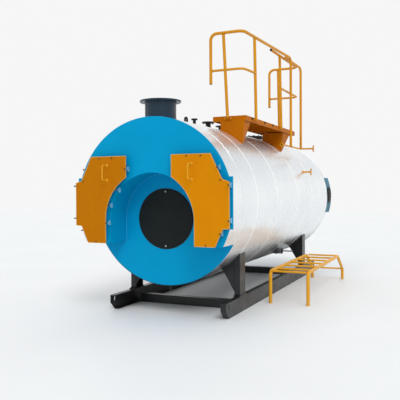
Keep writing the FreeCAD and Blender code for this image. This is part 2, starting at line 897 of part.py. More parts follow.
def build_standoffs():
    z = size("hand_post_low")
    across = size("standoff_x")
    pad_x = size("standoff_pad_x")
    keep(
        "standoff_upper",
        tube(
            "standoff_upper_rod",
            [
                (across, size("standoff_start_y"), z),
                (across, size("standoff_end_y"), z),
                (pad_x, size("standoff_end_y"), z),
            ],
            size("standoff_bend"), size("standoff_rod"),
        ),
    )
    root = math.sqrt(size("casing_radius") ** 2 - (size("standoff_low_z") - size("axis_height")) ** 2)
    low_y, low_z = size("standoff_low_y"), size("standoff_low_z")
    keep(
        "standoff_lower",
        tube(
            "standoff_lower_rod",
            [(root - size("standoff_sink"), low_y, low_z), (pad_x, low_y, low_z)],
            size("standoff_bend"), size("standoff_rod"),
        ),
    )
    pads = []
    for name, back, up in (
        ("upper", "standoff_end_y", "hand_post_low"),
        ("lower", "standoff_low_y", "standoff_low_z"),
    ):
        pads.append(
            box(
                f"pad_{name}",
                ("Dims.standoff_pad_wall", "Dims.standoff_pad_width", "Dims.standoff_pad"),
                (
                    "Dims.standoff_pad_x",
                    f"Dims.{back} - Dims.standoff_pad_width / 2",
                    f"Dims.{up} - Dims.standoff_pad / 2",
                ),
            )
        )
    keep("standoff_pads", group("pads", *pads))


def build_ladder():
    radius, bend = size("ladder_tube"), size("ladder_bend")
    for side in ("left", "right"):
        across = size(f"ladder_{side}")
        keep(
            f"ladder_stringer_{side}",
            tube(
                f"stringer_{side}",
                [
                    (across, size("ladder_front_y"), 0),
                    (across, size("ladder_front_y"), size("ladder_height")),
                    (across, size("ladder_back_y"), size("ladder_height")),
                    (across, size("ladder_knee_y"), size("ladder_knee_z")),
                    (across, size("ladder_knee_y"), 0),
                ],
                bend, radius,
            ),
        )
    rungs = []
    span = "Dims.ladder_right - Dims.ladder_left - 2 * Dims.ladder_tube"
    start = "Dims.ladder_left + Dims.ladder_tube"
    spots = ["Dims.rung_first_y"]
    spots += [f"Dims.rung_second_y + {index} * Dims.rung_pitch" for index in range(6)]
    for index, spot in enumerate(spots):
        rungs.append(
            rod(f"rung_{index}", "Dims.rung_radius", span, (start, spot, "Dims.ladder_height"), "x")
        )
    rungs.append(
        rod("rung_knee", "Dims.rung_radius", span, (start, "Dims.ladder_knee_y", "Dims.ladder_knee_z"), "x")
    )
    keep("ladder_rungs", group("rungs", *rungs))


def build_rear():
    back = "Dims.front_plane + Dims.casing_length + Dims.plate_thickness"
    drum = rod("rear_drum", "Dims.rear_box_radius", "Dims.rear_box_depth", (0, back, "Dims.axis_height"), "y")
    band = box(
        "rear_band",
        ("Dims.rear_box_radius * 2", "Dims.rear_box_depth", "Dims.rear_box_top - Dims.rear_box_low"),
        ("-Dims.rear_box_radius", back, "Dims.rear_box_low"),
    )
    rear = doc.addObject("Part::Common", "rear_box")
    rear.Base = drum
    rear.Tool = band
    port_pocket = rod(
        "port_pocket", "Dims.port_radius", "Dims.casing_radius",
        ("Dims.rear_box_radius - Dims.port_sink", "Dims.port_y", "Dims.port_z"), "x",
    )
    keep("rear_smokebox", cut("rear_smokebox_body", rear, port_pocket))
    keep(
        "rear_port",
        rod(
            "rear_port_body", "Dims.port_radius", "Dims.port_cover",
            ("Dims.rear_box_radius - Dims.port_sink", "Dims.port_y", "Dims.port_z"), "x",
        ),
    )
    inset = "Dims.rear_door_inset"
    keep(
        "rear_door",
        box(
            "rear_door_body",
            ("Dims.rear_door_half * 2", "Dims.rear_door_thickness",
             f"Dims.rear_box_top - Dims.rear_box_low - 2 * {inset}"),
            ("-Dims.rear_door_half", f"{back} + Dims.rear_box_depth", f"Dims.rear_box_low + {inset}"),
        ),
    )


def build_belly():
    vessel = rod(
        "belly_root", "Dims.casing_radius", "Dims.casing_length",
        (0, "Dims.front_plane", "Dims.axis_height"), "y",
    )
    block = box(
        "valve_block",
        ("Dims.valve_length", "Dims.valve_width", "Dims.valve_height"),
        (
            "Dims.blowdown_x - Dims.valve_length / 2",
            "Dims.blowdown_y - Dims.valve_width / 2",
            "Dims.valve_low",
        ),
    )
    neck = rod(
        "valve_neck", "Dims.valve_neck", "Dims.axis_height - Dims.valve_low",
        ("Dims.blowdown_x", "Dims.blowdown_y", "Dims.valve_low"),
    )
    pipe = rod(
        "blowdown_run", "Dims.blowdown_pipe", "Dims.blowdown_pipe_length",
        (
            "Dims.blowdown_x + Dims.valve_length / 2",
            "Dims.blowdown_y",
            "Dims.valve_low + Dims.valve_height / 2",
        ),
        "x",
    )
    keep("blowdown_pipe", cut("blowdown_body", fuse("blowdown_solid", block, neck, pipe), vessel))
    stub = rod(
        "belly_stub_solid", "Dims.belly_stub", "Dims.axis_height - Dims.belly_stub_low",
        (0, "Dims.belly_stub_y", "Dims.belly_stub_low"),
    )
    front = rod(
        "front_drain_solid", "Dims.belly_stub", "Dims.axis_height - Dims.front_drain_low",
        (0, "Dims.front_drain_y", "Dims.front_drain_low"),
    )
    pair = group("belly_pair", cut("belly_stub", stub, vessel), cut("front_drain", front, vessel))
    keep("belly_drains", pair)
    drains = []
    for name, sign in (("right", ""), ("left", "-")):
        drains.append(
            rod(
                f"drain_{name}", "Dims.drain_radius", "Dims.smokebox_foot - Dims.drain_low",
                (f"{sign}Dims.drain_x", "Dims.drain_y", "Dims.drain_low"),
            )
        )
    keep("smokebox_drains", group("drains", *drains))


flue_passage = rod(
    "flue_passage", "Dims.flue_way", "Dims.flue_top - Dims.flue_way_low",
    (0, "Dims.flue_y", "Dims.flue_way_low"),
)
build_casing(flue_passage)
build_smokebox(flue_passage)
for build in (
    build_doors, build_flue, build_roof_fittings, build_skid, build_legs, build_platform,
    build_guards, build_standoffs, build_ladder, build_rear, build_belly,
):
    build()
doc.recompute()

# every object has to have rebuilt, and every sub-part has to be a sound shape
for item in doc.Objects:
    if "Invalid" in item.State or "Error" in item.State:
        raise SystemExit(f"{item.Name} did not rebuild: {item.State}")
for node, piece in subparts.items():
    if piece.Shape.isNull() or not piece.Shape.isValid():
        raise SystemExit(f"{node} has no valid shape")

os.makedirs("parts", exist_ok=True)
for node, piece in subparts.items():
    piece.Shape.exportStep(f"parts/{node}.step")
    bound = piece.Shape.BoundBox
    print(
        f"{node}: {len(piece.Shape.Solids)} solids, {piece.Shape.Volume / 1e9:.5f} m3, "
        f"x {bound.XMin:.0f}..{bound.XMax:.0f} y {bound.YMin:.0f}..{bound.YMax:.0f} "
        f"z {bound.ZMin:.0f}..{bound.ZMax:.0f}"
    )
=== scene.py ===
import json
import math

import bpy
import numpy as np
from mathutils import Matrix, Vector


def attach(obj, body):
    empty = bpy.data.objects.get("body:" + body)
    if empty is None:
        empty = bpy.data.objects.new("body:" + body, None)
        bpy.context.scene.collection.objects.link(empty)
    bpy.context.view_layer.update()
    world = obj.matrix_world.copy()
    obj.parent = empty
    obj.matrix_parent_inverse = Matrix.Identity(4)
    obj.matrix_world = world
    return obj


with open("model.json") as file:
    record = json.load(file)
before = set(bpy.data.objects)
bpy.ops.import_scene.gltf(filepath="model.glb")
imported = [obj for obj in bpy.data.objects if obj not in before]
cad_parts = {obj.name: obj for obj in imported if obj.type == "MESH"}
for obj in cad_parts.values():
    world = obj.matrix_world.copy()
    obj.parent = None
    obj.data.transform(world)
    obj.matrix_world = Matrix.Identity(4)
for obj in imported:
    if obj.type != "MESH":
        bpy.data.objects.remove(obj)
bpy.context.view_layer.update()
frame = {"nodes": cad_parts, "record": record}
print("frame loaded:", len(frame["nodes"]), "nodes")

# The boiler lies along +Y: burner end at -Y, platform and ladder on +X, floor at z = 0.
boiler = {
    "radius": 1.05,
    "axisHeight": 1.428,
    "faceFront": -1.08,
    "plateFront": -0.70,
    "rearPlate": 4.136,
    "archHeight": 1.223,
    "archRadius": 0.578,
    "foot": 0.93,
    "doorFront": -1.159,
}
toFront, toBack, toRight, upward = (0, -1, 0), (0, 1, 0), (1, 0, 0), (0, 0, 1)


# Mesh helpers. A part is a pair: an array of points and a list of faces.


def gridFaces(rows, columns, closeColumns=True):
    # quads between neighbouring rows and columns of a row-major grid
    last = columns if closeColumns else columns - 1
    r, c = np.meshgrid(np.arange(rows - 1), np.arange(last), indexing="ij")
    a = r * columns + c
    b = r * columns + (c + 1) % columns
    return np.stack([a, b, b + columns, a + columns], axis=-1).reshape(-1, 4).tolist()


def turned(profile, sides=24):
    # (radius, height) rows turned about +Z: x = r cos t, y = r sin t; a row of radius 0 becomes
    # one pole point
    profile = np.asarray(profile, float)
    startPole, endPole = profile[0, 0] < 1e-9, profile[-1, 0] < 1e-9
    body = profile[int(startPole) : len(profile) - int(endPole)]
    t = np.linspace(0, 2 * np.pi, sides, endpoint=False)
    x = body[:, :1] * np.cos(t)
    y = body[:, :1] * np.sin(t)
    z = np.repeat(body[:, 1:], sides, axis=1)
    points = np.stack([x, y, z], axis=-1).reshape(-1, 3)
    faces = gridFaces(len(body), sides)
    k = np.arange(sides)
    if startPole:
        points = np.vstack([points, [[0, 0, profile[0, 1]]]])
        pole = np.full(sides, len(points) - 1)
        faces += np.stack([pole, (k + 1) % sides, k], axis=-1).tolist()
    if endPole:
        points = np.vstack([points, [[0, 0, profile[-1, 1]]]])
        base = (len(body) - 1) * sides
        pole = np.full(sides, len(points) - 1)
        faces += np.stack([pole, base + k, base + (k + 1) % sides], axis=-1).tolist()
    return points, faces


def ringOf(outline, sides=96):
    # a closed (radius, height) outline turned about +Z into a ring; the outline runs anticlockwise
    outline = np.asarray(outline, float)
    t = np.linspace(0, 2 * np.pi, sides, endpoint=False)
    radius, height = outline[None, :, 0], outline[None, :, 1]
    x = np.cos(t)[:, None] * radius
    y = np.sin(t)[:, None] * radius
    z = np.repeat(height, sides, axis=0)
    points = np.stack([x, y, z], axis=-1).reshape(-1, 3)
    count = len(outline)
    rows = np.arange(sides)[:, None]
    columns = np.arange(count)[None, :]
    after = (rows + 1) % sides
    beside = (columns + 1) % count
    quads = np.stack(
        [
            rows * count + columns,
            after * count + columns,
            after * count + beside,
            rows * count + beside,
        ],
        axis=-1,
    )
    return points, quads.reshape(-1, 4).tolist()


def carried(path, radius, sides=8, ripple=0.0, closed=False):
    # a round profile carried along a path: p + r (n cos t + b sin t), the radius swelling and
    # shrinking from ring to ring by the ripple's share; open ends close in a shallow dome
    path = np.asarray(path, float)
    ahead = np.roll(path, -1, axis=0) - np.roll(path, 1, axis=0)
    if not closed:
        ahead[0], ahead[-1] = path[1] - path[0], path[-1] - path[-2]
    ahead /= np.linalg.norm(ahead, axis=1, keepdims=True)
    side = np.cross(ahead, [0.05, 0.11, 0.99])
    weak = np.linalg.norm(side, axis=1) < 0.2
    side[weak] = np.cross(ahead[weak], [0.99, 0.05, 0.11])
    side /= np.linalg.norm(side, axis=1, keepdims=True)
    flips = np.where(np.sum(side[1:] * side[:-1], axis=1) < 0, -1.0, 1.0)
    side[1:] *= np.cumprod(flips)[:, None]
    up = np.cross(side, ahead)
    t = np.linspace(0, 2 * np.pi, sides, endpoint=False)
    size = radius * (1 + ripple * np.where(np.arange(len(path)) % 2, 1, -1))
    cosine, sine = np.cos(t)[None, :, None], np.sin(t)[None, :, None]
    outward = side[:, None, :] * cosine + up[:, None, :] * sine
    points = (path[:, None, :] + outward * size[:, None, None]).reshape(-1, 3)
    faces = gridFaces(len(path), sides)
    k = np.arange(sides)
    base = (len(path) - 1) * sides
    if closed:
        faces += np.stack([base + k, base + (k + 1) % sides, (k + 1) % sides, k], axis=-1).tolist()
    else:
        tips = [path[0] - ahead[0] * radius * 0.3, path[-1] + ahead[-1] * radius * 0.3]
        points = np.vstack([points, tips])
        low, high = np.full(sides, len(points) - 2), np.full(sides, len(points) - 1)
        faces += np.stack([low, (k + 1) % sides, k], axis=-1).tolist()
        faces += np.stack([high, base + k, base + (k + 1) % sides], axis=-1).tolist()
    return points, faces


def block(low, high, bevel=0.0015):
    # a box with its twelve edges cut back: three nested rectangles up the height
    low, high = np.asarray(low, float), np.asarray(high, float)
    middle, half = (low + high) / 2, (high - low) / 2
    cut = min(bevel, half.min() * 0.6)
    corners = []
    for inset, level in ((cut, -1), (0, -1), (0, 1), (cut, 1)):
        x, y = half[0] - inset, half[1] - inset
        z = level * (half[2] - (0 if inset else cut))
        edge = cut if not inset else cut * 0.5
        corners.append(
            [
                (x - edge, -y, z), (x, -y + edge, z), (x, y - edge, z), (x - edge, y, z),
                (-x + edge, y, z), (-x, y - edge, z), (-x, -y + edge, z), (-x + edge, -y, z),
            ]
        )
    points = np.array(corners).reshape(-1, 3) + middle
    faces = gridFaces(4, 8)
    faces.append(list(range(7, -1, -1)))
    faces.append(list(range(24, 32)))
    return points, faces


def joined(parts):
    points, faces, offset = [], [], 0
    for partPoints, partFaces in parts:
        points.append(partPoints)
        faces += [[i + offset for i in face] for face in partFaces]
        offset += len(partPoints)
    return np.vstack(points), faces


def standing(origin, axis, spin=0.0):
    # the frame whose +Z runs along the axis, turned by a spin about it
    turn = Vector((0, 0, 1)).rotation_difference(Vector(axis)).to_matrix()
    turn = turn @ Matrix.Rotation(spin, 3, "Z")
    placed = np.eye(4)
    placed[:3, :3] = np.array(turn)
    placed[:3, 3] = origin
    return placed


def copies(part, frames):
    # the same part in many frames: R p + o for all frames at once
    points, faces = part
    frames = np.asarray(frames, float)
    moved = np.einsum("kij,nj->kni", frames[:, :3, :3], points) + frames[:, None, :3, 3]
    steps = np.arange(len(frames)) * len(points)
    allFaces = [[i + step for i in face] for step in steps.tolist() for face in faces]
    return moved.reshape(-1, 3), allFaces


def addPiece(name, parts, slotName, material=None, sharp=38.0):
    # one mesh from one part or a list of them, in its slot's finish unless another is given
    points, faces = joined(parts) if isinstance(parts, list) else parts
    mesh = bpy.data.meshes.new(name)
    mesh.from_pydata(points.tolist(), [], faces)
    mesh.polygons.foreach_set("use_smooth", np.ones(len(mesh.polygons), bool))
    mesh.set_sharp_from_angle(angle=math.radians(sharp))
    mesh.materials.append(material or slotFinish[slotName])
    mesh.update()
    piece = bpy.data.objects.new(name, mesh)
    bpy.context.scene.collection.objects.link(piece)
    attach(piece, "root")
    return piece


def setAt(part, origin, axis):
    return copies(part, [standing(origin, axis)])


def hexBolt(across, height, washer=1.5, washerHeight=0.16):
    # a chamfered hexagon head on a round washer, its seat at z = 0
    r = across / 2 / math.cos(math.pi / 6)
    wide = r * washer
    base = height * washerHeight
    head = [(0, base * 0.5), (r, base * 0.5), (r, height * 0.86), (r * 0.84, height), (0, height)]
    plate = [(0, -0.001), (wide, -0.001), (wide, base * 0.8), (wide * 0.93, base), (0, base)]
    return joined([turned(plate, 16), turned(head, 6)])


def domeHead(radius, height):
    # a low round head: radius cos t, height sin t
    t = np.linspace(0, np.pi / 2, 5)
    profile = [(0, -0.001), (radius, -0.001)]
    profile += list(zip(radius * np.cos(t[:-1]), height * np.sin(t[:-1]))) + [(0, height)]
    return turned(profile, 12)


def boltCircle(centre, reach, degrees, plane, axis, spin=False):
    # frames at angles on a circle that lies in a plane of two axes, given by their numbers
    frames = []
    for angle in np.radians(degrees):
        spot = list(centre)
        spot[plane[0]] += reach * math.cos(angle)
        spot[plane[1]] += reach * math.sin(angle)
        frames.append(standing(spot, axis, angle if spin else 0.0))
    return frames


def arcPath(centre, radius, y, start, stop, count):
    # points on a circle that faces along Y, from one angle to another
    t = np.radians(np.linspace(start, stop, count))
    x = centre[0] + radius * np.cos(t)
    z = centre[1] + radius * np.sin(t)
    return np.stack([x, np.full(count, y), z], axis=-1)


def drumCircle(radius, y, count=192):
    # a whole circle about the boiler's axis, its last point one step short of the first
    stop = 360 * (count - 1) / count
    return arcPath((0, boiler["axisHeight"]), radius, y, 0, stop, count)


def circlePath(centre, radius, count):
    # a level circle round a point
    t = np.linspace(0, 2 * np.pi, count, endpoint=False)
    x = centre[0] + radius * np.cos(t)
    y = centre[1] + radius * np.sin(t)
    return np.stack([x, y, np.full(count, centre[2])], axis=-1)


def onCasing(x, lift=0.0):
    # the height of the casing's upper surface at a distance across
    return boiler["axisHeight"] + np.sqrt((boiler["radius"] + lift) ** 2 - np.asarray(x) ** 2)


def underCasing(x, gap):
    # the height a little below the casing's lower surface at a distance across
    return boiler["axisHeight"] - np.sqrt(boiler["radius"] ** 2 - x**2) - gap


def linePath(start, stop, count):
    share = np.linspace(0, 1, count)[:, None]
    return np.asarray(start, float) * (1 - share) + np.asarray(stop, float) * share


# Every weld is a rippled bead; weldGap is how far its middle stands off the plates.
weldRipple = 0.12
weldGap = 0.003


def weld(path, radius=0.005, closed=False):
    return carried(path, radius, 8, weldRipple, closed)


def lineWeld(start, stop, count, radius=0.005):
    return weld(linePath(start, stop, count), radius)


# Materials. Every colour is given as seen on a screen, 0 to 255, and turned to linear light.


def shade(colour):
    value = np.asarray(colour, float) / 255
    linear = np.where(value <= 0.04045, value / 12.92, ((value + 0.055) / 1.055) ** 2.4)
    return (*linear.tolist(), 1.0)


def startMaterial(name):
    material = bpy.data.materials.new(name)
    material.use_nodes = True
    tree = material.node_tree
    shader = tree.nodes["Principled BSDF"]
    coords = tree.nodes.new("ShaderNodeTexCoord")
    return material, tree, shader, coords.outputs["Object"]


def noiseOf(tree, coords, scale, detail=3.0, stretch=(1, 1, 1)):
    mapping = tree.nodes.new("ShaderNodeMapping")
    mapping.inputs["Scale"].default_value = stretch
    tree.links.new(coords, mapping.inputs["Vector"])
    noise = tree.nodes.new("ShaderNodeTexNoise")
    noise.inputs["Scale"].default_value = scale
    noise.inputs["Detail"].default_value = detail
    tree.links.new(mapping.outputs["Vector"], noise.inputs["Vector"])
    return noise.outputs["Fac"]


def rampOf(tree, value, stops):
    ramp = tree.nodes.new("ShaderNodeValToRGB")
    tree.links.new(value, ramp.inputs["Fac"])
    elements = ramp.color_ramp.elements
    for element, (place, colour) in zip(elements, stops):
        element.position = place
        element.color = colour
    return ramp.outputs["Color"]


def greyRamp(tree, value, low, high, start=0.3, stop=0.7):
    return rampOf(tree, value, [(start, (low, low, low, 1)), (stop, (high, high, high, 1))])


def rangeOf(tree, value, start, stop, top=1.0, smooth=False):
    # how far the value is from start to stop, as a share of top
    span = tree.nodes.new("ShaderNodeMapRange")
    if smooth:
        span.interpolation_type = "SMOOTHSTEP"
    span.inputs["From Min"].default_value = start
    span.inputs["From Max"].default_value = stop
    span.inputs["To Max"].default_value = top
    tree.links.new(value, span.inputs["Value"])
    return span.outputs["Result"]


def splitOf(tree, coords):
    split = tree.nodes.new("ShaderNodeSeparateXYZ")
    tree.links.new(coords, split.inputs["Vector"])
    return split.outputs


def blended(tree, factor, first, second):
    mix = tree.nodes.new("ShaderNodeMix")
    mix.data_type = "RGBA"
    for value, socket in ((factor, mix.inputs[0]), (first, mix.inputs[6]), (second, mix.inputs[7])):
        if isinstance(value, bpy.types.NodeSocket):
            tree.links.new(value, socket)
        else:
            socket.default_value = value
    return mix.outputs[2]


def bumped(tree, shader, layers):
    # each layer is a height, its strength and its distance; they stack on one another
    normal = None
    for height, strength, distance in layers:
        bump = tree.nodes.new("ShaderNodeBump")
        bump.inputs["Strength"].default_value = strength
        bump.inputs["Distance"].default_value = distance
        tree.links.new(height, bump.inputs["Height"])
        if normal:
            tree.links.new(normal, bump.inputs["Normal"])
        normal = bump.outputs["Normal"]
    tree.links.new(normal, shader.inputs["Normal"])


# What a paint or a metal has unless its own look says otherwise.
plainPaint = {
    "driftScale": 1.7, "mottleScale": 34.0, "mottle": 0.22,
    "scuffScale": 26.0, "scuffStretch": (1, 1, 4), "scuff": 0.35,
    "dustTop": 0.35, "dust": 0.0, "dustColour": (150, 140, 125),
    "smearScale": 6.0, "coat": 0.0, "coatRoughness": 0.12,
    "peelScale": 210.0, "peel": 0.10, "peelDepth": 0.0006,
    "waveScale": 3.2, "wave": 0.12, "waveDepth": 0.004,
    "sideHalf": 0.2,
}
plainMetal = {
    "blotchScale": 24.0, "blotch": 0.12, "blotchDepth": 0.002,
    "rustScale": 60.0, "rustColour": (96, 62, 40),
    "grainScale": 320.0, "grain": 0.15, "grainDepth": 0.0005, "metallic": 0.9,
}


def paintFinish(name, ownLook):
    # sprayed paint: slow drifts of tone, fine mottle, thin scuffs, orange peel, dust low down and,
    # where a look gives one, a painted shade towards -X
    look = {**plainPaint, **ownLook}
    material, tree, shader, coords = startMaterial(name)
    split = splitOf(tree, coords)
    drift = greyRamp(tree, noiseOf(tree, coords, look["driftScale"], 4.0), 0.0, 1.0, 0.25, 0.75)
    colour = blended(tree, drift, shade(look["dark"]), shade(look["colour"]))
    if "paintedLeftShade" in look:
        # painted shade: the door on -X is made darker, standing in for the weaker light that falls
        # on it
        side = rangeOf(tree, split["X"], look["sideHalf"], -look["sideHalf"])
        colour = blended(tree, side, colour, shade(look["paintedLeftShade"]))
    mottle = noiseOf(tree, coords, look["mottleScale"], 5.0)
    mottled = greyRamp(tree, mottle, 0.0, look["mottle"])
    lighter = blended(tree, mottled, colour, shade(look["light"]))
    scuff = noiseOf(tree, coords, look["scuffScale"], 8.0, look["scuffStretch"])
    scuffed = greyRamp(tree, scuff, 0.0, look["scuff"], 0.66, 0.72)
    worn = blended(tree, scuffed, lighter, shade(look["worn"]))
    low = rangeOf(tree, split["Z"], look["dustTop"], 0.0, look["dust"])
    dusty = blended(tree, low, worn, shade(look["dustColour"]))
    tree.links.new(dusty, shader.inputs["Base Color"])
    smear = noiseOf(tree, coords, look["smearScale"], 6.0)
    tree.links.new(greyRamp(tree, smear, *look["roughness"]), shader.inputs["Roughness"])
    shader.inputs["Specular IOR Level"].default_value = look["specular"]
    shader.inputs["Coat Weight"].default_value = look["coat"]
    shader.inputs["Coat Roughness"].default_value = look["coatRoughness"]
    peel = noiseOf(tree, coords, look["peelScale"], 2.0)
    wave = noiseOf(tree, coords, look["waveScale"], 2.0)
    bumped(tree, shader, [
        (wave, look["wave"], look["waveDepth"]),
        (peel, look["peel"], look["peelDepth"]),
    ])
    return material


def sheetFinish(name, look):
    # rolled sheet: fine brushing round the drum, cloudy marks, a slow wave and painted shade
    # underneath, a dark tone standing in for the shadowed floor it reflects
    material, tree, shader, coords = startMaterial(name)
    cloud = greyRamp(tree, noiseOf(tree, coords, 1.9, 5.0, (1, 0.7, 1)), 0.0, 1.0)
    base = blended(tree, cloud, shade(look["dark"]), shade(look["colour"]))
    brush = noiseOf(tree, coords, 60.0, 4.0, (0.12, 9.0, 0.12))
    brushed = blended(tree, greyRamp(tree, brush, 0.0, look["brush"]), base, shade(look["line"]))
    split = splitOf(tree, coords)
    # painted shade: towards the bottom the sheet darkens to the belly colour, standing in for the
    # reflection of the shadowed floor
    under = rangeOf(tree, split["Z"], look["bellyTop"], look["bellyLow"], smooth=True)
    undersideShaded = blended(tree, under, brushed, shade(look["belly"]))
    tree.links.new(undersideShaded, shader.inputs["Base Color"])
    smudge = greyRamp(tree, noiseOf(tree, coords, 4.5, 7.0, (1, 1.6, 1)), *look["roughness"])
    streak = greyRamp(tree, noiseOf(tree, coords, 22.0, 5.0, (0.2, 6.0, 0.2)), *look["roughness"])
    tree.links.new(blended(tree, look["streakShare"], smudge, streak), shader.inputs["Roughness"])
    shader.inputs["Metallic"].default_value = look["metallic"]
    wave = noiseOf(tree, coords, 1.4, 2.0, (1.0, 1.5, 1.0))
    dent = noiseOf(tree, coords, 7.0, 2.0, (1.0, 0.8, 1.0))
    bumped(tree, shader, [
        (wave, look["wave"], 0.02),
        (dent, look["dent"], 0.003),
        (brush, 0.006, 0.0002),
    ])
    return material


def metalFinish(name, ownLook):
    # bare or blackened metal: turning marks, blotches and a little rust in the low spots
    look = {**plainMetal, **ownLook}
    material, tree, shader, coords = startMaterial(name)
    blotch = noiseOf(tree, coords, look["blotchScale"], 6.0)
    toned = greyRamp(tree, blotch, 0.0, 1.0)
    base = blended(tree, toned, shade(look["dark"]), shade(look["colour"]))
    rust = noiseOf(tree, coords, look["rustScale"], 9.0)
    rusted = greyRamp(tree, rust, 0.0, look["rust"], 0.62, 0.7)
    aged = blended(tree, rusted, base, shade(look["rustColour"]))
    tree.links.new(aged, shader.inputs["Base Color"])
    tree.links.new(greyRamp(tree, blotch, *look["roughness"]), shader.inputs["Roughness"])
    shader.inputs["Metallic"].default_value = look["metallic"]
    grain = noiseOf(tree, coords, look["grainScale"], 3.0)
    bumped(tree, shader, [
        (blotch, look["blotch"], look["blotchDepth"]),
        (grain, look["grain"], look["grainDepth"]),
    ])
    return material


finishes = {
    "boilerBlue": {
        "colour": (0, 154, 203), "dark": (0, 146, 196),
        "light": (4, 164, 210), "worn": (30, 168, 210),
        "roughness": (0.42, 0.52), "specular": 0.05, "scuff": 0.08, "mottle": 0.10,
    },
    "rearBlue": {
        "colour": (0, 104, 128), "dark": (0, 84, 108),
        "light": (10, 128, 152), "worn": (30, 140, 160),
        "roughness": (0.38, 0.5), "specular": 0.2, "scuff": 0.1, "mottle": 0.15,
    },
    # painted highlight: a lighter copy of the boiler blue, for weld beads that catch the light
    "weldHighlightBlue": {
        "colour": (30, 165, 214), "dark": (8, 150, 204),
        "light": (80, 188, 228), "worn": (110, 200, 232),
        "roughness": (0.3, 0.42), "specular": 0.2,
    },
    "clampBlue": {
        "colour": (128, 196, 224), "dark": (84, 164, 204),
        "light": (190, 224, 238), "worn": (214, 232, 240),
        "roughness": (0.25, 0.4), "specular": 0.4,
    },
    "doorOrange": {
        "colour": (216, 136, 0), "dark": (208, 127, 0),
        "light": (222, 144, 6), "worn": (230, 164, 50),
        "roughness": (0.42, 0.52), "specular": 0.05, "scuff": 0.10, "mottle": 0.12,
        # painted shade: the darker tone towards -X stands in for the weaker light on the left door
        "paintedLeftShade": (186, 110, 0),
    },
    # painted highlight: a paler copy of the door orange, for the lit front edge of the doors
    "doorRimHighlight": {
        "colour": (226, 186, 84), "dark": (206, 160, 52),
        "light": (240, 208, 130), "worn": (244, 220, 160),
        "roughness": (0.3, 0.45), "specular": 0.3,
    },
    "platformOrange": {
        "colour": (190, 106, 0), "dark": (170, 88, 0),
        "light": (208, 128, 8), "worn": (226, 158, 60),
        "roughness": (0.4, 0.52), "specular": 0.06, "scuff": 0.15,
    },
    "railOrange": {
        "colour": (218, 150, 16), "dark": (200, 130, 6),
        "light": (236, 174, 46), "worn": (240, 194, 96),
        "roughness": (0.3, 0.44), "specular": 0.22, "scuff": 0.3, "scuffScale": 40.0,
    },
    "ladderYellow": {
        "colour": (230, 166, 20), "dark": (214, 146, 10),
        "light": (242, 186, 56), "worn": (244, 206, 120),
        "roughness": (0.3, 0.44), "specular": 0.25, "scuff": 0.3, "scuffScale": 36.0,
        "dust": 0.15, "dustTop": 0.12,
    },
    "skidBlack": {
        "colour": (12, 14, 16), "dark": (8, 9, 11),
        "light": (24, 26, 28), "worn": (58, 60, 60),
        "roughness": (0.28, 0.42), "specular": 0.5, "scuff": 0.16, "dust": 0.06,
        "dustTop": 0.25, "dustColour": (96, 98, 98),
    },
    "flueBlack": {
        "colour": (6, 42, 60), "dark": (4, 30, 46),
        "light": (20, 54, 74), "worn": (80, 92, 100),
        "roughness": (0.26, 0.4), "coat": 0.1, "specular": 0.35, "scuff": 0.15,
    },
    "fittingBlack": {
        "colour": (22, 23, 26), "dark": (14, 15, 17),
        "light": (38, 40, 43), "worn": (80, 79, 77),
        "roughness": (0.42, 0.6), "specular": 0.3, "scuff": 0.3, "peelScale": 420.0, "peel": 0.3,
    },
    "burnerBlack": {
        "colour": (20, 27, 27), "dark": (16, 22, 22),
        "light": (30, 36, 36), "worn": (50, 53, 52),
        "roughness": (0.45, 0.6), "specular": 0.16, "scuff": 0.3, "peelScale": 500.0, "peel": 0.25,
    },
}
paints = {name: paintFinish(name, look) for name, look in finishes.items()}

sheetLook = {
    "colour": (246, 247, 248), "dark": (238, 240, 242), "line": (226, 228, 230),
    "metallic": 0.78, "brush": 0.05, "roughness": (0.24, 0.29), "wave": 0.03, "dent": 0.012,
    # the belly colour is painted shade: the underside darkened to stand in for the shadowed floor
    # it reflects
    "streakShare": 0.45, "belly": (58, 58, 56), "bellyTop": 0.82, "bellyLow": 0.52,
}
casingSheet = sheetFinish("casingSheet", sheetLook)
strapLook = {
    **sheetLook, "colour": (250, 250, 250), "dark": (244, 244, 244),
    "roughness": (0.20, 0.30), "wave": 0.02,
}
strapSheet = sheetFinish("strapSheet", strapLook)
brightZinc = metalFinish("brightZinc", {
    "colour": (205, 210, 214), "dark": (160, 166, 172), "roughness": (0.22, 0.4), "rust": 0.08,
})
pipeSteel = metalFinish("pipeSteel", {
    "colour": (170, 172, 174), "dark": (120, 122, 124), "roughness": (0.3, 0.5), "rust": 0.3,
})
darkSteel = metalFinish("darkSteel", {
    "colour": (52, 50, 48), "dark": (30, 29, 28),
    "roughness": (0.4, 0.6), "rust": 0.35, "metallic": 0.7,
})
edgeBrown = metalFinish("edgeBrown", {
    "colour": (120, 72, 12), "dark": (84, 50, 10),
    "roughness": (0.4, 0.6), "rust": 0.3, "metallic": 0.3,
})
whiteSeal = metalFinish("whiteSeal", {
    "colour": (253, 253, 252), "dark": (244, 244, 242),
    "roughness": (0.35, 0.5), "rust": 0.0, "metallic": 0.0,
})
ropeGasket = metalFinish("ropeGasket", {
    "colour": (70, 66, 60), "dark": (34, 32, 30),
    "roughness": (0.8, 0.95), "rust": 0.0, "metallic": 0.0,
    "blotchScale": 160.0, "grain": 0.6,
})

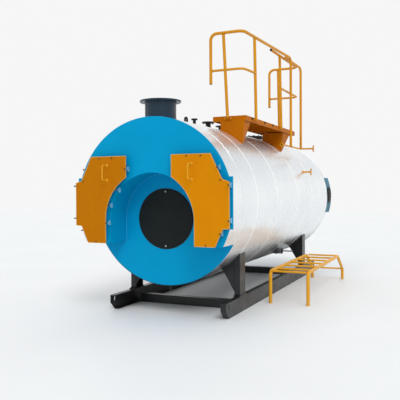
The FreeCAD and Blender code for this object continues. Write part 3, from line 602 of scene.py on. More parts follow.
slotFinish = {
    "cladding": casingSheet,
    "strap": strapSheet,
    "boiler_blue": paints["boilerBlue"],
    "door_orange": paints["doorOrange"],
    "platform_orange": paints["platformOrange"],
    "guard_orange": paints["railOrange"],
    "ladder_yellow": paints["ladderYellow"],
    "skid_black": paints["skidBlack"],
    "flue_black": paints["flueBlack"],
    "fitting_black": paints["fittingBlack"],
    "burner_black": paints["burnerBlack"],
    "pipe_grey": pipeSteel,
    "handle_steel": paints["ladderYellow"],
}
slotOfNode = {entry["node"]: entry["material_slot"] for entry in frame["record"]["subparts"]}
for node, piece in frame["nodes"].items():
    isRear = node.startswith("rear_") and slotOfNode[node] == "boiler_blue"
    piece.data.materials.clear()
    piece.data.materials.append(paints["rearBlue"] if isRear else slotFinish[slotOfNode[node]])
print("finishes on every node")


# Casing: seals, clasps and rivets on every strap, a riveted lap seam in every bay.
casingDetail = {
    "strapStarts": (-0.175, 0.727, 1.880, 2.844, 4.024),
    "strapWidth": 0.030,
    "strapLift": 0.003,
    "sealRadius": 0.006,
    "sealSink": 0.0034,
    "sealGap": 0.001,
    "rivetRadius": 0.004,
    "rivetHeight": 0.0020,
    "rivetAngle": 7.5,
    "claspAngle": -118,
    "claspOffset": 0.05,
    "seamEnds": (-0.68, 4.118),
    "seamAngle": -62.0,
    "seamStagger": 5,
    "seamWidth": 0.045,
    "seamRise": 0.0016,
    "seamRivetPitch": 0.06,
    "shortestBay": 0.2,
    "rimRivets": 60,
    "rimAngles": (-26, 206),
    "rimBack": 0.014,
    "bandLift": 0.0022,
    "bandBack": 0.006,
}


def aroundAxis(angles, y, radius):
    # outward frames on a circle about the boiler's axis
    frames = []
    for angle in np.radians(angles):
        axis = (math.cos(angle), 0, math.sin(angle))
        origin = (radius * axis[0], y, boiler["axisHeight"] + radius * axis[2])
        frames.append(standing(origin, axis))
    return frames


def casingStraps():
    d = casingDetail
    parts, seals, rivets = [], [], []
    lift = boiler["radius"] + d["strapLift"]
    clasp = np.radians(d["claspAngle"])
    angles = np.arange(d["rivetAngle"] / 2, 360, d["rivetAngle"])
    for start in d["strapStarts"]:
        for edge in (start - d["sealGap"], start + d["strapWidth"] + d["sealGap"]):
            path = drumCircle(boiler["radius"] - d["sealSink"], edge)
            seals.append(carried(path, d["sealRadius"], 8, closed=True))
        rivets += aroundAxis(angles, start + d["strapWidth"] / 2, lift)
        for offset in (-d["claspOffset"], d["claspOffset"]):
            across = lift * math.cos(clasp) + offset
            up = boiler["axisHeight"] - math.sqrt(lift**2 - across**2)
            low = (across - 0.02, start + 0.002, up - 0.016)
            high = (across + 0.02, start + 0.028, up + 0.004)
            parts.append(block(low, high))
    parts.append(copies(domeHead(d["rivetRadius"], d["rivetHeight"]), rivets))
    addPiece("strap_clasps", parts, "strap")
    addPiece("strap_seals", seals, "strap", whiteSeal)


def casingSeams():
    # a flat strip on the drum: radius R + rise, swept in angle by its width and in y by its bay
    d = casingDetail
    edges = [d["seamEnds"][0], *d["strapStarts"], d["seamEnds"][1]]
    spread = d["seamWidth"] / boiler["radius"] / 2
    radii = boiler["radius"] + np.array([0.0, d["seamRise"], d["seamRise"], 0.0])
    strips, rivets = [], []
    for index, (front, back) in enumerate(zip(edges, edges[1:])):
        if back - front < d["shortestBay"]:
            continue
        start = front + (d["strapWidth"] if index else 0)
        middle = math.radians(d["seamAngle"] - (index % 2) * d["seamStagger"])
        lows = linePath((0, start + 0.004, 0), (0, back - 0.004, 0), 12)[:, 1]
        angles = middle + np.array([-spread, -spread, spread, spread])
        x = np.repeat((radii * np.cos(angles))[None, :], len(lows), axis=0)
        z = np.repeat((boiler["axisHeight"] + radii * np.sin(angles))[None, :], len(lows), axis=0)
        y = np.repeat(lows[:, None], 4, axis=1)
        last = (len(lows) - 1) * 4
        ends = [[3, 2, 1, 0], [last, last + 1, last + 2, last + 3]]
        points = np.stack([x, y, z], axis=-1).reshape(-1, 3)
        strips.append((points, [face[::-1] for face in gridFaces(len(lows), 4) + ends]))
        for y in np.arange(start + 0.03, back - 0.02, d["seamRivetPitch"]):
            rivets += aroundAxis([math.degrees(middle)], y, boiler["radius"] + 0.0015)
    strips.append(copies(domeHead(d["rivetRadius"], d["rivetHeight"]), rivets))
    addPiece("casing_seams", strips, "cladding")


def smokeboxRivets():
    d = casingDetail
    angles = np.linspace(*d["rimAngles"], d["rimRivets"])
    frames = aroundAxis(angles, boiler["plateFront"] - d["rimBack"], boiler["radius"])
    rivets = copies(domeHead(d["rivetRadius"], d["rivetHeight"]), frames)
    addPiece("smokebox_rivets", rivets, "cladding", brightZinc)


def jointBand():
    # the lap band over the joint of the smokebox wrap and the casing, a ring of radius R + lift
    outer = boiler["radius"] + casingDetail["bandLift"]
    inner = outer - 0.003
    band = ringOf([(inner, 0.0), (outer, 0.0015), (outer, 0.0265), (inner, 0.028)], 256)
    origin = (0, boiler["plateFront"] - casingDetail["bandBack"], boiler["axisHeight"])
    addPiece("joint_band", setAt(band, origin, toBack), "cladding")


casingStraps()
casingSeams()
smokeboxRivets()
jointBand()
print("casing straps, seams and rivets")


# Front: weld in the arch, welds along the smokebox floor, burner plate.
archSeam = {"bead": 0.0055, "step": 0.014, "inset": 0.003}


def archWeld():
    # up the right leg, over the arch and down the left leg
    d = archSeam
    radius = boiler["archRadius"] - d["inset"]
    y = boiler["plateFront"] - d["inset"]
    leg = int((boiler["archHeight"] - boiler["foot"]) / d["step"])
    right = linePath((radius, y, boiler["foot"]), (radius, y, boiler["archHeight"]), leg)
    steps = int(math.pi * radius / d["step"])
    over = arcPath((0, boiler["archHeight"]), radius, y, 0, 180, steps)
    left = right[::-1] * [-1, 1, 1]
    bead = weld(np.vstack([right[:-1], over, left[1:]]), d["bead"])
    # the bead takes the lighter blue, a painted highlight
    addPiece("arch_weld", bead, "boiler_blue", paints["weldHighlightBlue"])


def floorWelds():
    # beads where the smokebox floor meets the plate, from the arch to the casing
    drop = boiler["axisHeight"] - boiler["foot"]
    outer = math.sqrt(boiler["radius"] ** 2 - drop**2) - 0.01
    y = boiler["plateFront"] - weldGap
    z = boiler["foot"] - weldGap
    beads = [
        lineWeld((side * boiler["archRadius"], y, z), (side * outer, y, z), 26) for side in (1, -1)
    ]
    # the beads take the lighter blue, a painted highlight
    addPiece("smokebox_floor_welds", beads, "boiler_blue", paints["weldHighlightBlue"])


burnerDetail = {
    "radius": 0.379, "thickness": 0.012, "gasket": 0.386, "gasketThickness": 0.005,
    "screwCircle": 0.345, "screws": 12, "screwRadius": 0.007, "screwHeight": 0.003,
    "boltAcross": 0.014, "boltHeight": 0.010, "boltAside": 0.004,
}


def burnerFittings():
    # two bright bolts, above and below, take the places of two of the screws
    d = burnerDetail
    front = boiler["plateFront"] - d["thickness"]
    edge, inner = d["radius"] - 0.001, d["radius"] - 0.01
    rim = ringOf(
        [(edge - 0.005, -0.001), (edge, -0.001), (edge, 0.001), (edge - 0.003, 0.003)], 128
    )
    centre = (0, front, boiler["archHeight"])
    addPiece("burner_rim", setAt(rim, centre, toFront), "burner_black")
    deep = d["gasketThickness"]
    gasket = ringOf([(inner, 0.0), (d["gasket"], 0.0), (d["gasket"], deep), (inner, deep)], 128)
    plate = (0, boiler["plateFront"], boiler["archHeight"])
    addPiece("burner_gasket", setAt(gasket, plate, toFront), "burner_black", ropeGasket)
    turns = [360 / d["screws"] * i + 90 for i in range(d["screws"]) if i % (d["screws"] // 2)]
    frames = boltCircle(centre, d["screwCircle"], turns, (0, 2), toFront)
    screws = copies(domeHead(d["screwRadius"], d["screwHeight"]), frames)
    addPiece("burner_screws", screws, "burner_black")
    bright = []
    for side in (1, -1):
        z = boiler["archHeight"] + side * d["screwCircle"]
        bright.append(standing((d["boltAside"], front, z), toFront))
    bolts = copies(hexBolt(d["boltAcross"], d["boltHeight"], 1.3), bright)
    addPiece("burner_bolts", bolts, "handle_steel", brightZinc)


archWeld()
floorWelds()
burnerFittings()
print("arch weld and burner plate")


# Cleaning doors: swing bolts, edge bolts, rope gasket, handle feet and rims.
doorDetail = {
    "swingBolts": (
        (0.316, 1.846), (0.439, 1.591), (0.557, 1.400), (0.588, 1.183),
        (0.893, 1.846), (1.030, 1.641), (1.030, 1.237), (0.924, 1.087),
    ),
    "edgeBolts": ((0.508, 1.984), (0.688, 1.982), (0.930, 1.700), (0.744, 0.948)),
    "eyeRadius": 0.021,
    "eyeBar": 0.0055,
    "eyeForward": 0.022,
    "studRadius": 0.0055,
    "studMiddle": -1.158,
    "studFront": -1.200,
    "nutBack": 0.016,
    "lugHalf": 0.010,
    "lugOffset": 0.025,
    "pinHalf": 0.032,
    "aside": 0.009,
    "innerLimit": 0.600,
    "clampLimit": 1.040,
    "handleX": 0.575,
    "handleZ": 1.802,
    "handleHalf": 0.092,
    "outline": (
        (0.308, 2.006), (0.809, 2.006), (0.951, 1.712), (1.040, 1.680), (1.040, 1.145),
        (0.958, 1.138), (0.863, 0.930), (0.602, 0.930), (0.602, 1.223),
    ),
    "middle": (0.72, 1.5),
    "archRadius": 0.602,
    "edgeStep": 0.03,
    "ropeInset": 0.022,
    "ropeRadius": 0.009,
    "ropeY": -1.141,
    "rimInset": 0.003,
    "rimRadius": 0.0035,
    "rimBack": 0.002,
}


def doorEdge(inset, steps=22):
    # the door's outline moved inwards, with the arched side as an arc of radius + inset
    d = doorDetail
    corners = np.array(d["outline"])
    inner = corners + np.sign(np.array(d["middle"]) - corners) * inset
    radius = d["archRadius"] + inset
    inner[7, 0] = inner[8, 0] = radius
    inner[8, 1] = boiler["archHeight"]
    stop = math.degrees(math.acos(inner[0, 0] / radius))
    t = np.radians(np.linspace(0, stop, steps))
    arc = np.stack([radius * np.cos(t), boiler["archHeight"] + radius * np.sin(t)], axis=-1)
    loop = np.vstack([inner[:9], arc[1:]])
    ahead = np.roll(loop, -1, axis=0) - loop
    pieces = []
    for point, step in zip(loop, ahead):
        count = max(1, int(np.linalg.norm(step) / d["edgeStep"]))
        pieces.append(point + step * np.linspace(0, 1, count, endpoint=False)[:, None])
    return np.vstack(pieces)


def doorLoop(side, inset, y):
    # the inset outline as a path in space, on the right or the left door
    edge = doorEdge(inset)
    return np.stack([side * edge[:, 0], np.full(len(edge), y), edge[:, 1]], axis=-1)


def swingBolt(x, z):
    # just past the door's edge: lugs, pin and eye on the smokebox front, and the stud ahead
    d = doorDetail
    front = boiler["faceFront"]
    eyeY = front - d["eyeForward"]
    t = np.linspace(0, 2 * np.pi, 14, endpoint=False)
    eyeZ = z + d["eyeRadius"] * np.sin(t)
    eye = np.stack([np.full(14, x), eyeY + d["eyeRadius"] * np.cos(t), eyeZ], axis=-1)
    root = linePath((x, eyeY - d["eyeRadius"] * 0.8, z), (x, d["studMiddle"], z), 6)
    tip = linePath((x, d["studMiddle"], z), (x, d["studFront"], z), 8)
    pin = linePath((x, eyeY, z - d["pinHalf"]), (x, eyeY, z + d["pinHalf"]), 3)
    pale = [
        carried(eye, d["eyeBar"], 8, closed=True),
        carried(root, d["studRadius"], 8),
        carried(pin, 0.004, 8),
    ]
    for level in (z - d["lugOffset"], z + d["lugOffset"]):
        low = (x - d["lugHalf"], front - 0.030, level - 0.003)
        pale.append(block(low, (x + d["lugHalf"], front, level + 0.003)))
    return pale, carried(tip, d["studRadius"] * 0.9, 8)


def doorFittings():
    d = doorDetail
    clamps, tips, nuts, bolts, feet, ropes = [], [], [], [], [], []
    for side in (1, -1):
        for x, z in d["swingBolts"]:
            inner = x < d["innerLimit"]
            if inner and side == 1:
                continue  # the right door hangs free of clamps beside the burner
            spot = side * (x - d["aside"] if inner else min(x + d["aside"], d["clampLimit"]))
            pale, tip = swingBolt(spot, z)
            clamps += pale
            tips.append(tip)
            nuts.append(standing((spot, d["studFront"] + d["nutBack"], z), toFront))
        for x, z in d["edgeBolts"]:
            bolts.append(standing((side * x, boiler["doorFront"], z), toFront))
        for z in (d["handleZ"] - d["handleHalf"], d["handleZ"] + d["handleHalf"]):
            feet.append(standing((side * d["handleX"], boiler["doorFront"], z), toFront))
        path = doorLoop(side, d["ropeInset"], d["ropeY"])
        ropes.append(carried(path, d["ropeRadius"], 8, 0.05, closed=True))
    addPiece("door_swing_bolts", clamps, "boiler_blue", paints["clampBlue"])
    addPiece("door_stud_tips", tips, "fitting_black", edgeBrown)
    addPiece("door_nuts", copies(hexBolt(0.013, 0.009, 1.4), nuts), "fitting_black", edgeBrown)
    bolts = copies(hexBolt(0.014, 0.008, 1.2), bolts)
    addPiece("door_edge_bolts", bolts, "fitting_black", edgeBrown)
    profile = [(0, -0.001), (0.019, -0.001), (0.019, 0.004), (0.012, 0.008)]
    foot = turned([*profile, (0.0075, 0.016), (0, 0.016)], 20)
    addPiece("door_handle_feet", copies(foot, feet), "handle_steel")
    addPiece("door_rope_gaskets", ropes, "burner_black", ropeGasket)


def doorRims():
    # a small rounded bead along the front edge of each door, in a paler orange that is a painted
    # highlight on the edge
    d = doorDetail
    y = boiler["doorFront"] + d["rimBack"]
    paths = [doorLoop(side, d["rimInset"], y) for side in (1, -1)]
    rims = [carried(path, d["rimRadius"], 6, closed=True) for path in paths]
    addPiece("door_rims", rims, "door_orange", paints["doorRimHighlight"])


doorFittings()
doorRims()
print("door fittings")


# Flue neck: root and flange welds, flange edge, sheet seam.
flueDetail = {
    "y": -0.821, "radius": 0.195, "flange": 0.257, "top": 2.696, "flangeThickness": 0.020,
    "rootRadius": 0.007, "rootOut": 0.004, "underRadius": 0.006, "sides": 120,
    "seamX": -0.12, "seamBack": 0.1535, "seamLow": 2.49, "seamRadius": 0.004,
}


def flueWelds():
    d = flueDetail
    under = d["top"] - d["flangeThickness"]
    root = circlePath((0, d["y"], 0), d["radius"] + d["rootOut"], d["sides"])
    root[:, 2] = onCasing(root[:, 0], weldGap)
    below = circlePath((0, d["y"], under - weldGap), d["radius"] + 0.003, d["sides"])
    parts = [weld(root, d["rootRadius"], closed=True), weld(below, d["underRadius"], closed=True)]
    wide = d["flange"]
    edge = ringOf([(wide - 0.004, -0.001), (wide, 0.002), (wide, 0.018), (wide - 0.004, 0.021)])
    parts.append(setAt(edge, (0, d["y"], under), upward))
    seamY = d["y"] - d["seamBack"]
    seam = linePath((d["seamX"], seamY, d["seamLow"]), (d["seamX"], seamY, under), 24)
    parts.append(carried(seam, d["seamRadius"], 6, 0.15))
    addPiece("flue_welds", parts, "flue_black")


flueWelds()

# Roof fittings: flange bolts, nozzle roots, manhole rim, studs and bow, lug fillets, feed cap.
roofDetail = {
    "nozzles": ((0.193, 0.022), (1.190, 0.038)),
    "rootZ": 2.4795,
    "collarZ": 2.477,
    "steamY": 0.686,
    "steamTop": 2.590,
    "steamStem": 0.038,
    "steamCircle": 0.072,
    "steamFlange": 0.018,
    "boltAcross": 0.018,
    "boltHeight": 0.014,
    "manholeY": 2.690,
    "manholeTop": 2.510,
    "manholeStuds": 12,
    "manholeCircle": 0.170,
    "manholeRim": (0.146, 0.192),
    "manholeDrop": -0.018,
    "manholeLift": 0.022,
    "manholeCollar": (0.1205, 0.152),
    "manholeRoot": 2.4705,
    "bow": (0.055, 0.034),
    "lugs": (-0.08, 3.72),
    "lugSide": 0.012,
    "lugHalf": 0.044,
    "lugFoot": 2.480,
    "feedY": 3.180,
    "feedRadius": 0.047,
    "feedTop": 2.545,
    "feedBand": 0.045,
}


def nozzleFittings():
    d = roofDetail
    roots = []
    for y, stem in (*d["nozzles"], (d["steamY"], d["steamStem"])):
        roots.append(weld(circlePath((0, y, d["rootZ"]), stem + 0.003, 40), closed=True))
        low, high = stem + 0.002, stem + 0.030
        collar = ringOf([(low, 0.0), (high, 0.0), (high - 0.002, 0.003), (low, 0.010)], 40)
        roots.append(setAt(collar, (0, y, d["collarZ"]), upward))
    steam = (0, d["steamY"], d["steamTop"] - d["steamFlange"])
    bolts = boltCircle(steam, d["steamCircle"], (45, 135, 225, 315), (0, 1), (0, 0, -1))
    studTurns = np.arange(d["manholeStuds"]) * 360 / d["manholeStuds"]
    cover = (0, d["manholeY"], d["manholeTop"] + d["manholeLift"])
    bolts += boltCircle(cover, d["manholeCircle"], studTurns, (0, 1), upward, spin=True)
    bolt = hexBolt(d["boltAcross"], d["boltHeight"])
    addPiece("roof_bolts", copies(bolt, bolts), "fitting_black")
    addPiece("nozzle_roots", roots, "strap")


def manholeFittings():
    # the bow is half an ellipse over the cover's dome
    d = roofDetail
    top = (0, d["manholeY"], d["manholeTop"])
    t = np.linspace(0, np.pi, 18)
    across, rise = d["bow"]
    z = d["manholeTop"] + rise * np.sin(t)
    bow = np.stack([across * np.cos(t), np.full(18, d["manholeY"]), z], axis=-1)
    crown = [(0.088, 0.003), (0.06, 0.009), (0.03, 0.012), (0, 0.013)]
    dome = turned([(0, -0.002), (0.09, -0.002), *crown], 40)
    addPiece("manhole_bow", [carried(bow, 0.006, 8), setAt(dome, top, upward)], "fitting_black")
    inner, outer = d["manholeRim"]
    low, high = d["manholeDrop"], d["manholeLift"]
    rim = ringOf([(inner, low), (outer, low), (outer, high), (inner, high)], 64)
    addPiece("manhole_rim", setAt(rim, top, upward), "fitting_black")
    inner, outer = d["manholeCollar"]
    collar = ringOf([(inner, 0.0), (outer, 0.0), (outer - 0.002, 0.004), (inner, 0.014)], 64)
    addPiece("manhole_collar", setAt(collar, (0, d["manholeY"], d["manholeRoot"]), upward), "strap")


def lugAndFeedFittings():
    d = roofDetail
    z = d["lugFoot"]
    fillets = []
    for y in d["lugs"]:
        for x in (d["lugSide"], -d["lugSide"]):
            fillets.append(lineWeld((x, y - d["lugHalf"], z), (x, y + d["lugHalf"], z), 12))
    addPiece("lug_fillets", fillets, "fitting_black")
    inner = d["feedRadius"]
    wide, outer = inner + 0.004, inner + 0.005
    cap = turned([(0, 0), (wide, 0), (wide, 0.006), (0.03, 0.009), (0, 0.010)], 32)
    band = ringOf([(inner, 0), (outer, 0), (outer, 0.014), (inner, 0.014)], 40)
    top = (0, d["feedY"], d["feedTop"])
    low = (0, d["feedY"], d["feedTop"] - d["feedBand"])
    addPiece("feed_cap", [setAt(cap, top, upward), setAt(band, low, upward)], "pipe_grey")


nozzleFittings()
manholeFittings()
lugAndFeedFittings()
print("flue and roof fittings")


# Skid: foot plates with bolts, welds at the cross members, legs and gussets, one nose plate.
skidDetail = {
    "legFronts": (-0.195, 3.098),
    "legDepth": 0.200,
    "legSides": (0.735, 0.812),
    "legInner": 0.7345,
    "legWeld": (0.27, 0.66),
    "gussetSides": (0.562, 0.733),
    "railTop": 0.200,
    "plateThickness": 0.012,
    "plateSides": (0.728, 0.823),
    "plateReach": 0.034,
    "boltAcross": 0.024,
    "boltHeight": 0.018,
    "boltRows": (0.752, 0.800),
    "boltReach": 0.017,
    "crossMiddles": (0.0, 3.300),
    "crossHeight": 0.118,
    "crossHalf": 0.052,
    "railInner": 0.748,
    "noseSides": (0.750, 0.8225),
    "nose": (
        (-0.7205, 0.196), (-0.7205, 0.101), (-0.6225, 0.003),
        (-0.6170, 0.009), (-0.7130, 0.105), (-0.7130, 0.196),
    ),
}


def legWelds(side, front, back):
    # round the foot of a leg, up its inner corner, and where it and its gusset meet the drum
    d = skidDetail
    y = front - weldGap
    z = d["railTop"] + d["plateThickness"] + weldGap
    beads = [
        lineWeld((side * 0.816, front, z), (side * 0.816, back, z), 24),
        lineWeld((side * 0.735, y, z), (side * 0.813, y, z), 12),
    ]
    x = np.linspace(*d["legSides"], 12)
    path = np.stack([side * x, np.full(12, y), underCasing(x, weldGap)], axis=-1)
    beads.append(weld(path, 0.006))
    low, high = d["legWeld"]
    inner = side * d["legInner"]
    beads.append(lineWeld((inner, y, low), (inner, y, high), 40, 0.004))
    x = np.linspace(*d["gussetSides"], 22)
    path = np.stack([side * x, np.full(22, y), underCasing(x, weldGap)], axis=-1)
    beads.append(weld(path))
    return beads


def crossWelds(side, middle):
    # up both sides of a cross member's end and over its top
    d = skidDetail
    x = side * (d["railInner"] - weldGap)
    beads = []
    for y in (middle - d["crossHalf"], middle + d["crossHalf"]):
        beads.append(lineWeld((x, y, 0.012), (x, y, d["crossHeight"]), 14))
    z = d["crossHeight"] + 0.002
    beads.append(lineWeld((x, middle - 0.05, z), (x, middle + 0.05, z), 12))
    return beads


def nosePlate():
    # closes the right rail's end: a bent strip drawn in y and z, carried across x
    d = skidDetail
    count = len(d["nose"])
    points = np.array([(x, y, z) for x in d["noseSides"] for y, z in d["nose"]])
    faces = []
    for i in range(count):
        after = (i + 1) % count
        faces.append([i, after, after + count, i + count])
    return points, [*faces, list(range(count))[::-1], list(range(count, 2 * count))]


def skidFittings():
    d = skidDetail
    plates, bolts, beads = [], [], []
    top = d["railTop"] + d["plateThickness"]
    for side in (1, -1):
        inner, outer = sorted(side * x for x in d["plateSides"])
        for front in d["legFronts"]:
            back = front + d["legDepth"]
            low = (inner, front - d["plateReach"], d["railTop"])
            plates.append(block(low, (outer, back + d["plateReach"], top), 0.002))
            for y in (front - d["boltReach"], back + d["boltReach"]):
                bolts += [standing((side * x, y, top), upward, y) for x in d["boltRows"]]
            beads += legWelds(side, front, back)
        for middle in d["crossMiddles"]:
            beads += crossWelds(side, middle)
    plates.append(nosePlate())
    addPiece("leg_foot_plates", plates, "skid_black")
    bolt = hexBolt(d["boltAcross"], d["boltHeight"])
    addPiece("leg_foot_bolts", copies(bolt, bolts), "fitting_black", darkSteel)
    addPiece("skid_welds", beads, "skid_black")


skidFittings()
print("skid fittings")


# Platform: raised tread, post feet, slats, edge bolts, bracket welds.
deckDetail = {
    "left": 0.270, "right": 0.756, "front": 0.224, "back": 2.790,
    "top": 2.598, "underside": 2.526,
    "treadPitch": 0.036, "treadLength": 0.022, "treadWidth": 0.007, "treadHeight": 0.0016,
    "footHalf": 0.062, "footOut": 0.008, "footLevels": (2.540, 2.588),
    "footBolt": 0.044, "footBoltZ": 2.564, "frontFoot": 0.496, "sideFeet": (0.592, 1.872),
    "edgeBoltZ": 2.578, "edgeBolts": (0.480, 0.640, 1.060, 1.460),
    "slats": 5, "slatEnds": (0.62, 1.96), "slatHalf": 0.006, "slatTop": 2.592,
    "brackets": ((0.224, 0.250), (2.114, 0.410)),
    "bracketSides": (0.384, 0.697), "bracketToe": 0.022, "bracketFoot": 2.210,
}


def deckTread():
    # a low eight-sided lozenge, repeated on a grid and turned a quarter from one to the next
    d = deckDetail
    t = np.linspace(0, 2 * np.pi, 8, endpoint=False)
    x, y = d["treadLength"] / 2 * np.cos(t), d["treadWidth"] / 2 * np.sin(t)
    rim = np.stack([x, y, np.zeros(8)], axis=-1)
    crown = rim * [0.6, 0.5, 0] + [0, 0, d["treadHeight"]]
    points = np.vstack([rim - [0, 0, 0.0005], crown])
    faces = gridFaces(2, 8) + [list(range(8, 16))]
    xs = np.arange(d["left"] + 0.02, d["right"] - 0.015, d["treadPitch"])
    ys = np.arange(d["front"] + 0.02, d["back"] - 0.015, d["treadPitch"])
    frames = []
    for i, x in enumerate(xs):
        for j, y in enumerate(ys):
            turn = math.radians(45 if (i + j) % 2 else -45)
            frames.append(standing((x, y, d["top"]), upward, turn))
    addPiece("deck_tread", copies((points, faces), frames), "platform_orange", sharp=60)


def deckFittings():
    d = deckDetail
    low, high = d["footLevels"]
    half, out, reach = d["footHalf"], d["footOut"], d["footBolt"]
    x, y = d["frontFoot"], d["front"]
    parts = [block((x - half, y - out, low), (x + half, y + 0.001, high))]
    bolts = [standing((x + dx, y - out, d["footBoltZ"]), toFront) for dx in (-reach, reach)]
    x = d["right"]
    for y in d["sideFeet"]:
        parts.append(block((x - 0.001, y - half, low), (x + out, y + half, high)))
        bolts += [standing((x + out, y + dy, d["footBoltZ"]), toRight) for dy in (-reach, reach)]
    dark = [standing((x, y, d["edgeBoltZ"]), toRight) for y in d["edgeBolts"]]
    # slats below the deck, flats that run across between the brackets
    for y in np.linspace(*d["slatEnds"], d["slats"]):
        corner = (d["left"] + 0.01, y - d["slatHalf"], d["underside"] + 0.001)
        parts.append(block(corner, (d["right"] - 0.01, y + d["slatHalf"], d["slatTop"])))
    addPiece("deck_feet_and_slats", parts, "platform_orange")
    addPiece("deck_foot_bolts", copies(hexBolt(0.017, 0.011, 1.3), bolts), "guard_orange")
    dark = copies(hexBolt(0.024, 0.014, 1.3), dark)
    addPiece("deck_edge_bolts", dark, "fitting_black", darkSteel)


def bracketWelds():
    # the back edge leans: y = front + toe + (reach - toe) * height share above the toe
    d = deckDetail
    toe = d["bracketToe"]
    x = np.linspace(*d["bracketSides"], 40)
    z = onCasing(x, weldGap)
    share = (z - d["bracketFoot"]) / (d["underside"] - d["bracketFoot"])
    beads = []
    for front, reach in d["brackets"]:
        back = np.maximum(front + toe + (reach - toe) * share, front + toe) + weldGap
        beads.append(weld(np.stack([x, np.full(40, front - weldGap), z], axis=-1), 0.006))
        beads.append(weld(np.stack([x, back, z], axis=-1), 0.006))
    addPiece("bracket_welds", beads, "platform_orange")


deckTread()
deckFittings()
bracketWelds()
print("platform fittings")


# Guard rails: end plugs, weld collars, pad bolts and standoff collars.
railDetail = {
    "tube": 0.021,
    "midShare": 0.8,
    "plugs": (
        ((0.250, 0.203, 3.050), (0, 0, -1)),
        ((0.290, 2.811, 3.050), (0, 0, -1)),
        ((0.744, 1.426, 3.738), (-0.040, -1, 0.016)),
        ((0.871, 2.110, 2.289), (0, 0, -1)),
        ((0.845, 2.872, 2.289), (0, 0, -1)),
    ),
    "collars": (
        (0.440, 0.203, 3.715), (0.756, 0.598, 3.715), (0.761, 1.845, 3.708), (0.450, 2.811, 3.693),
        (0.497, 0.203, 2.580), (0.777, 0.592, 2.580), (0.777, 1.872, 2.580), (0.470, 2.811, 2.580),
    ),
    "midCollars": (
        ((0.274, 0.203, 3.230), (1, 0, 0)), ((0.763, 0.571, 3.230), (0.1, 1, 0)),
        ((0.314, 2.811, 3.200), (1, 0, 0)), ((0.768, 1.882, 3.213), (0, 1, 0)),
    ),
    "pads": ((2.780, 2.289), (2.600, 1.880)),
    "padFront": 1.095,
    "padBack": 1.084,
    "padBolt": 0.036,
    "lowerRoot": (2.600, 1.880),
    "upperRoot": (0.861, 1.600, 2.289),
}


def railFittings():
    d = railDetail
    tube = d["tube"]
    profile = [(0, -0.006), (tube - 0.0005, -0.006), (tube - 0.0001, 0.001), (tube - 0.003, 0.005)]
    plug = turned([*profile, (0, 0.006)], 24)
    plugs = copies(plug, [standing(spot, axis) for spot, axis in d["plugs"]])
    addPiece("rail_plugs", plugs, "fitting_black", darkSteel)
    parts = []
    posts = [(spot, upward) for spot in d["collars"]]
    for spots, radius in ((posts, tube), (d["midCollars"], tube * d["midShare"])):
        loop = circlePath((0, 0, 0), radius + 0.001, 24)
        collar = carried(loop, 0.004, 6, weldRipple, closed=True)
        parts.append(copies(collar, [standing(spot, axis) for spot, axis in spots]))
    addPiece("rail_weld_collars", parts, "guard_orange")


def standoffFittings():
    # bolts on the pads, a disc behind each pad and one at each root
    d = railDetail
    bolts, discs = [], []
    for y, z in d["pads"]:
        for level in (z - d["padBolt"], z + d["padBolt"]):
            bolts.append(standing((d["padFront"], y, level), toRight))
        discs.append(standing((d["padBack"], y, z), (-1, 0, 0)))
    addPiece("pad_bolts", copies(hexBolt(0.014, 0.007, 1.2), bolts), "handle_steel", brightZinc)
    y, z = d["lowerRoot"]
    rise = z - boiler["axisHeight"]
    root = math.sqrt(boiler["radius"] ** 2 - rise**2)
    discs += [standing((root, y, z), (root, 0, rise)), standing(d["upperRoot"], toBack)]
    disc = turned([(0, 0), (0.030, 0), (0.030, 0.004), (0.018, 0.008), (0, 0.008)], 28)
    addPiece("standoff_collars", copies(disc, discs), "guard_orange")


railFittings()
standoffFittings()

# Ladder: weld collars at the rungs, grip ridges on the rungs.
ladderDetail = {
    "left": 1.000, "right": 1.530, "height": 0.450,
    "rungs": (0.545, 0.820, 1.200, 1.580, 1.960, 2.340, 2.720),
    "knee": (3.085, 0.185), "rungRadius": 0.014, "tube": 0.024,
    "ridges": 22, "ridgeMargin": 0.08,
}


def ladderFittings():
    d = ladderDetail
    collars, ridges = [], []
    loop = circlePath((0, 0, 0), d["rungRadius"] + 0.001, 20)
    collar = carried(loop, 0.004, 6, weldRipple, closed=True)
    low, high = d["rungRadius"] - 0.001, d["rungRadius"] + 0.0015
    ridge = ringOf([(low, -0.003), (high, -0.001), (high, 0.001), (low, 0.003)], 16)
    left, right = d["left"] + d["tube"] + 0.002, d["right"] - d["tube"] - 0.002
    margin = d["ridgeMargin"]
    for y, z in [(y, d["height"]) for y in d["rungs"]] + [d["knee"]]:
        collars += [standing((left, y, z), toRight), standing((right, y, z), (-1, 0, 0))]
        for x in np.linspace(d["left"] + margin, d["right"] - margin, d["ridges"]):
            ridges.append(standing((x, y, z), toRight))
    addPiece("ladder_weld_collars", copies(collar, collars), "ladder_yellow")
    addPiece("rung_grip_ridges", copies(ridge, ridges), "ladder_yellow")


ladderFittings()
print("rail and ladder fittings")


# Rear: door bolts, box welds, port studs, ring and flange, rim of the rear plate.
rearDetail = {
    "boltY": 4.550 - 0.0085, "half": 0.860, "low": 1.190, "high": 1.740,
    "boltsAcross": 15, "boltsUp": 4, "boltInset": 0.04,
    "boxBack": 4.536, "boxLevels": (1.130, 1.800), "boxRadius": 1.046,
    "portSpot": (1.066, 4.320, 1.465), "portFace": 0.001, "portStuds": 8, "portCircle": 0.092,
    "flange": (0.106, 0.156),
}


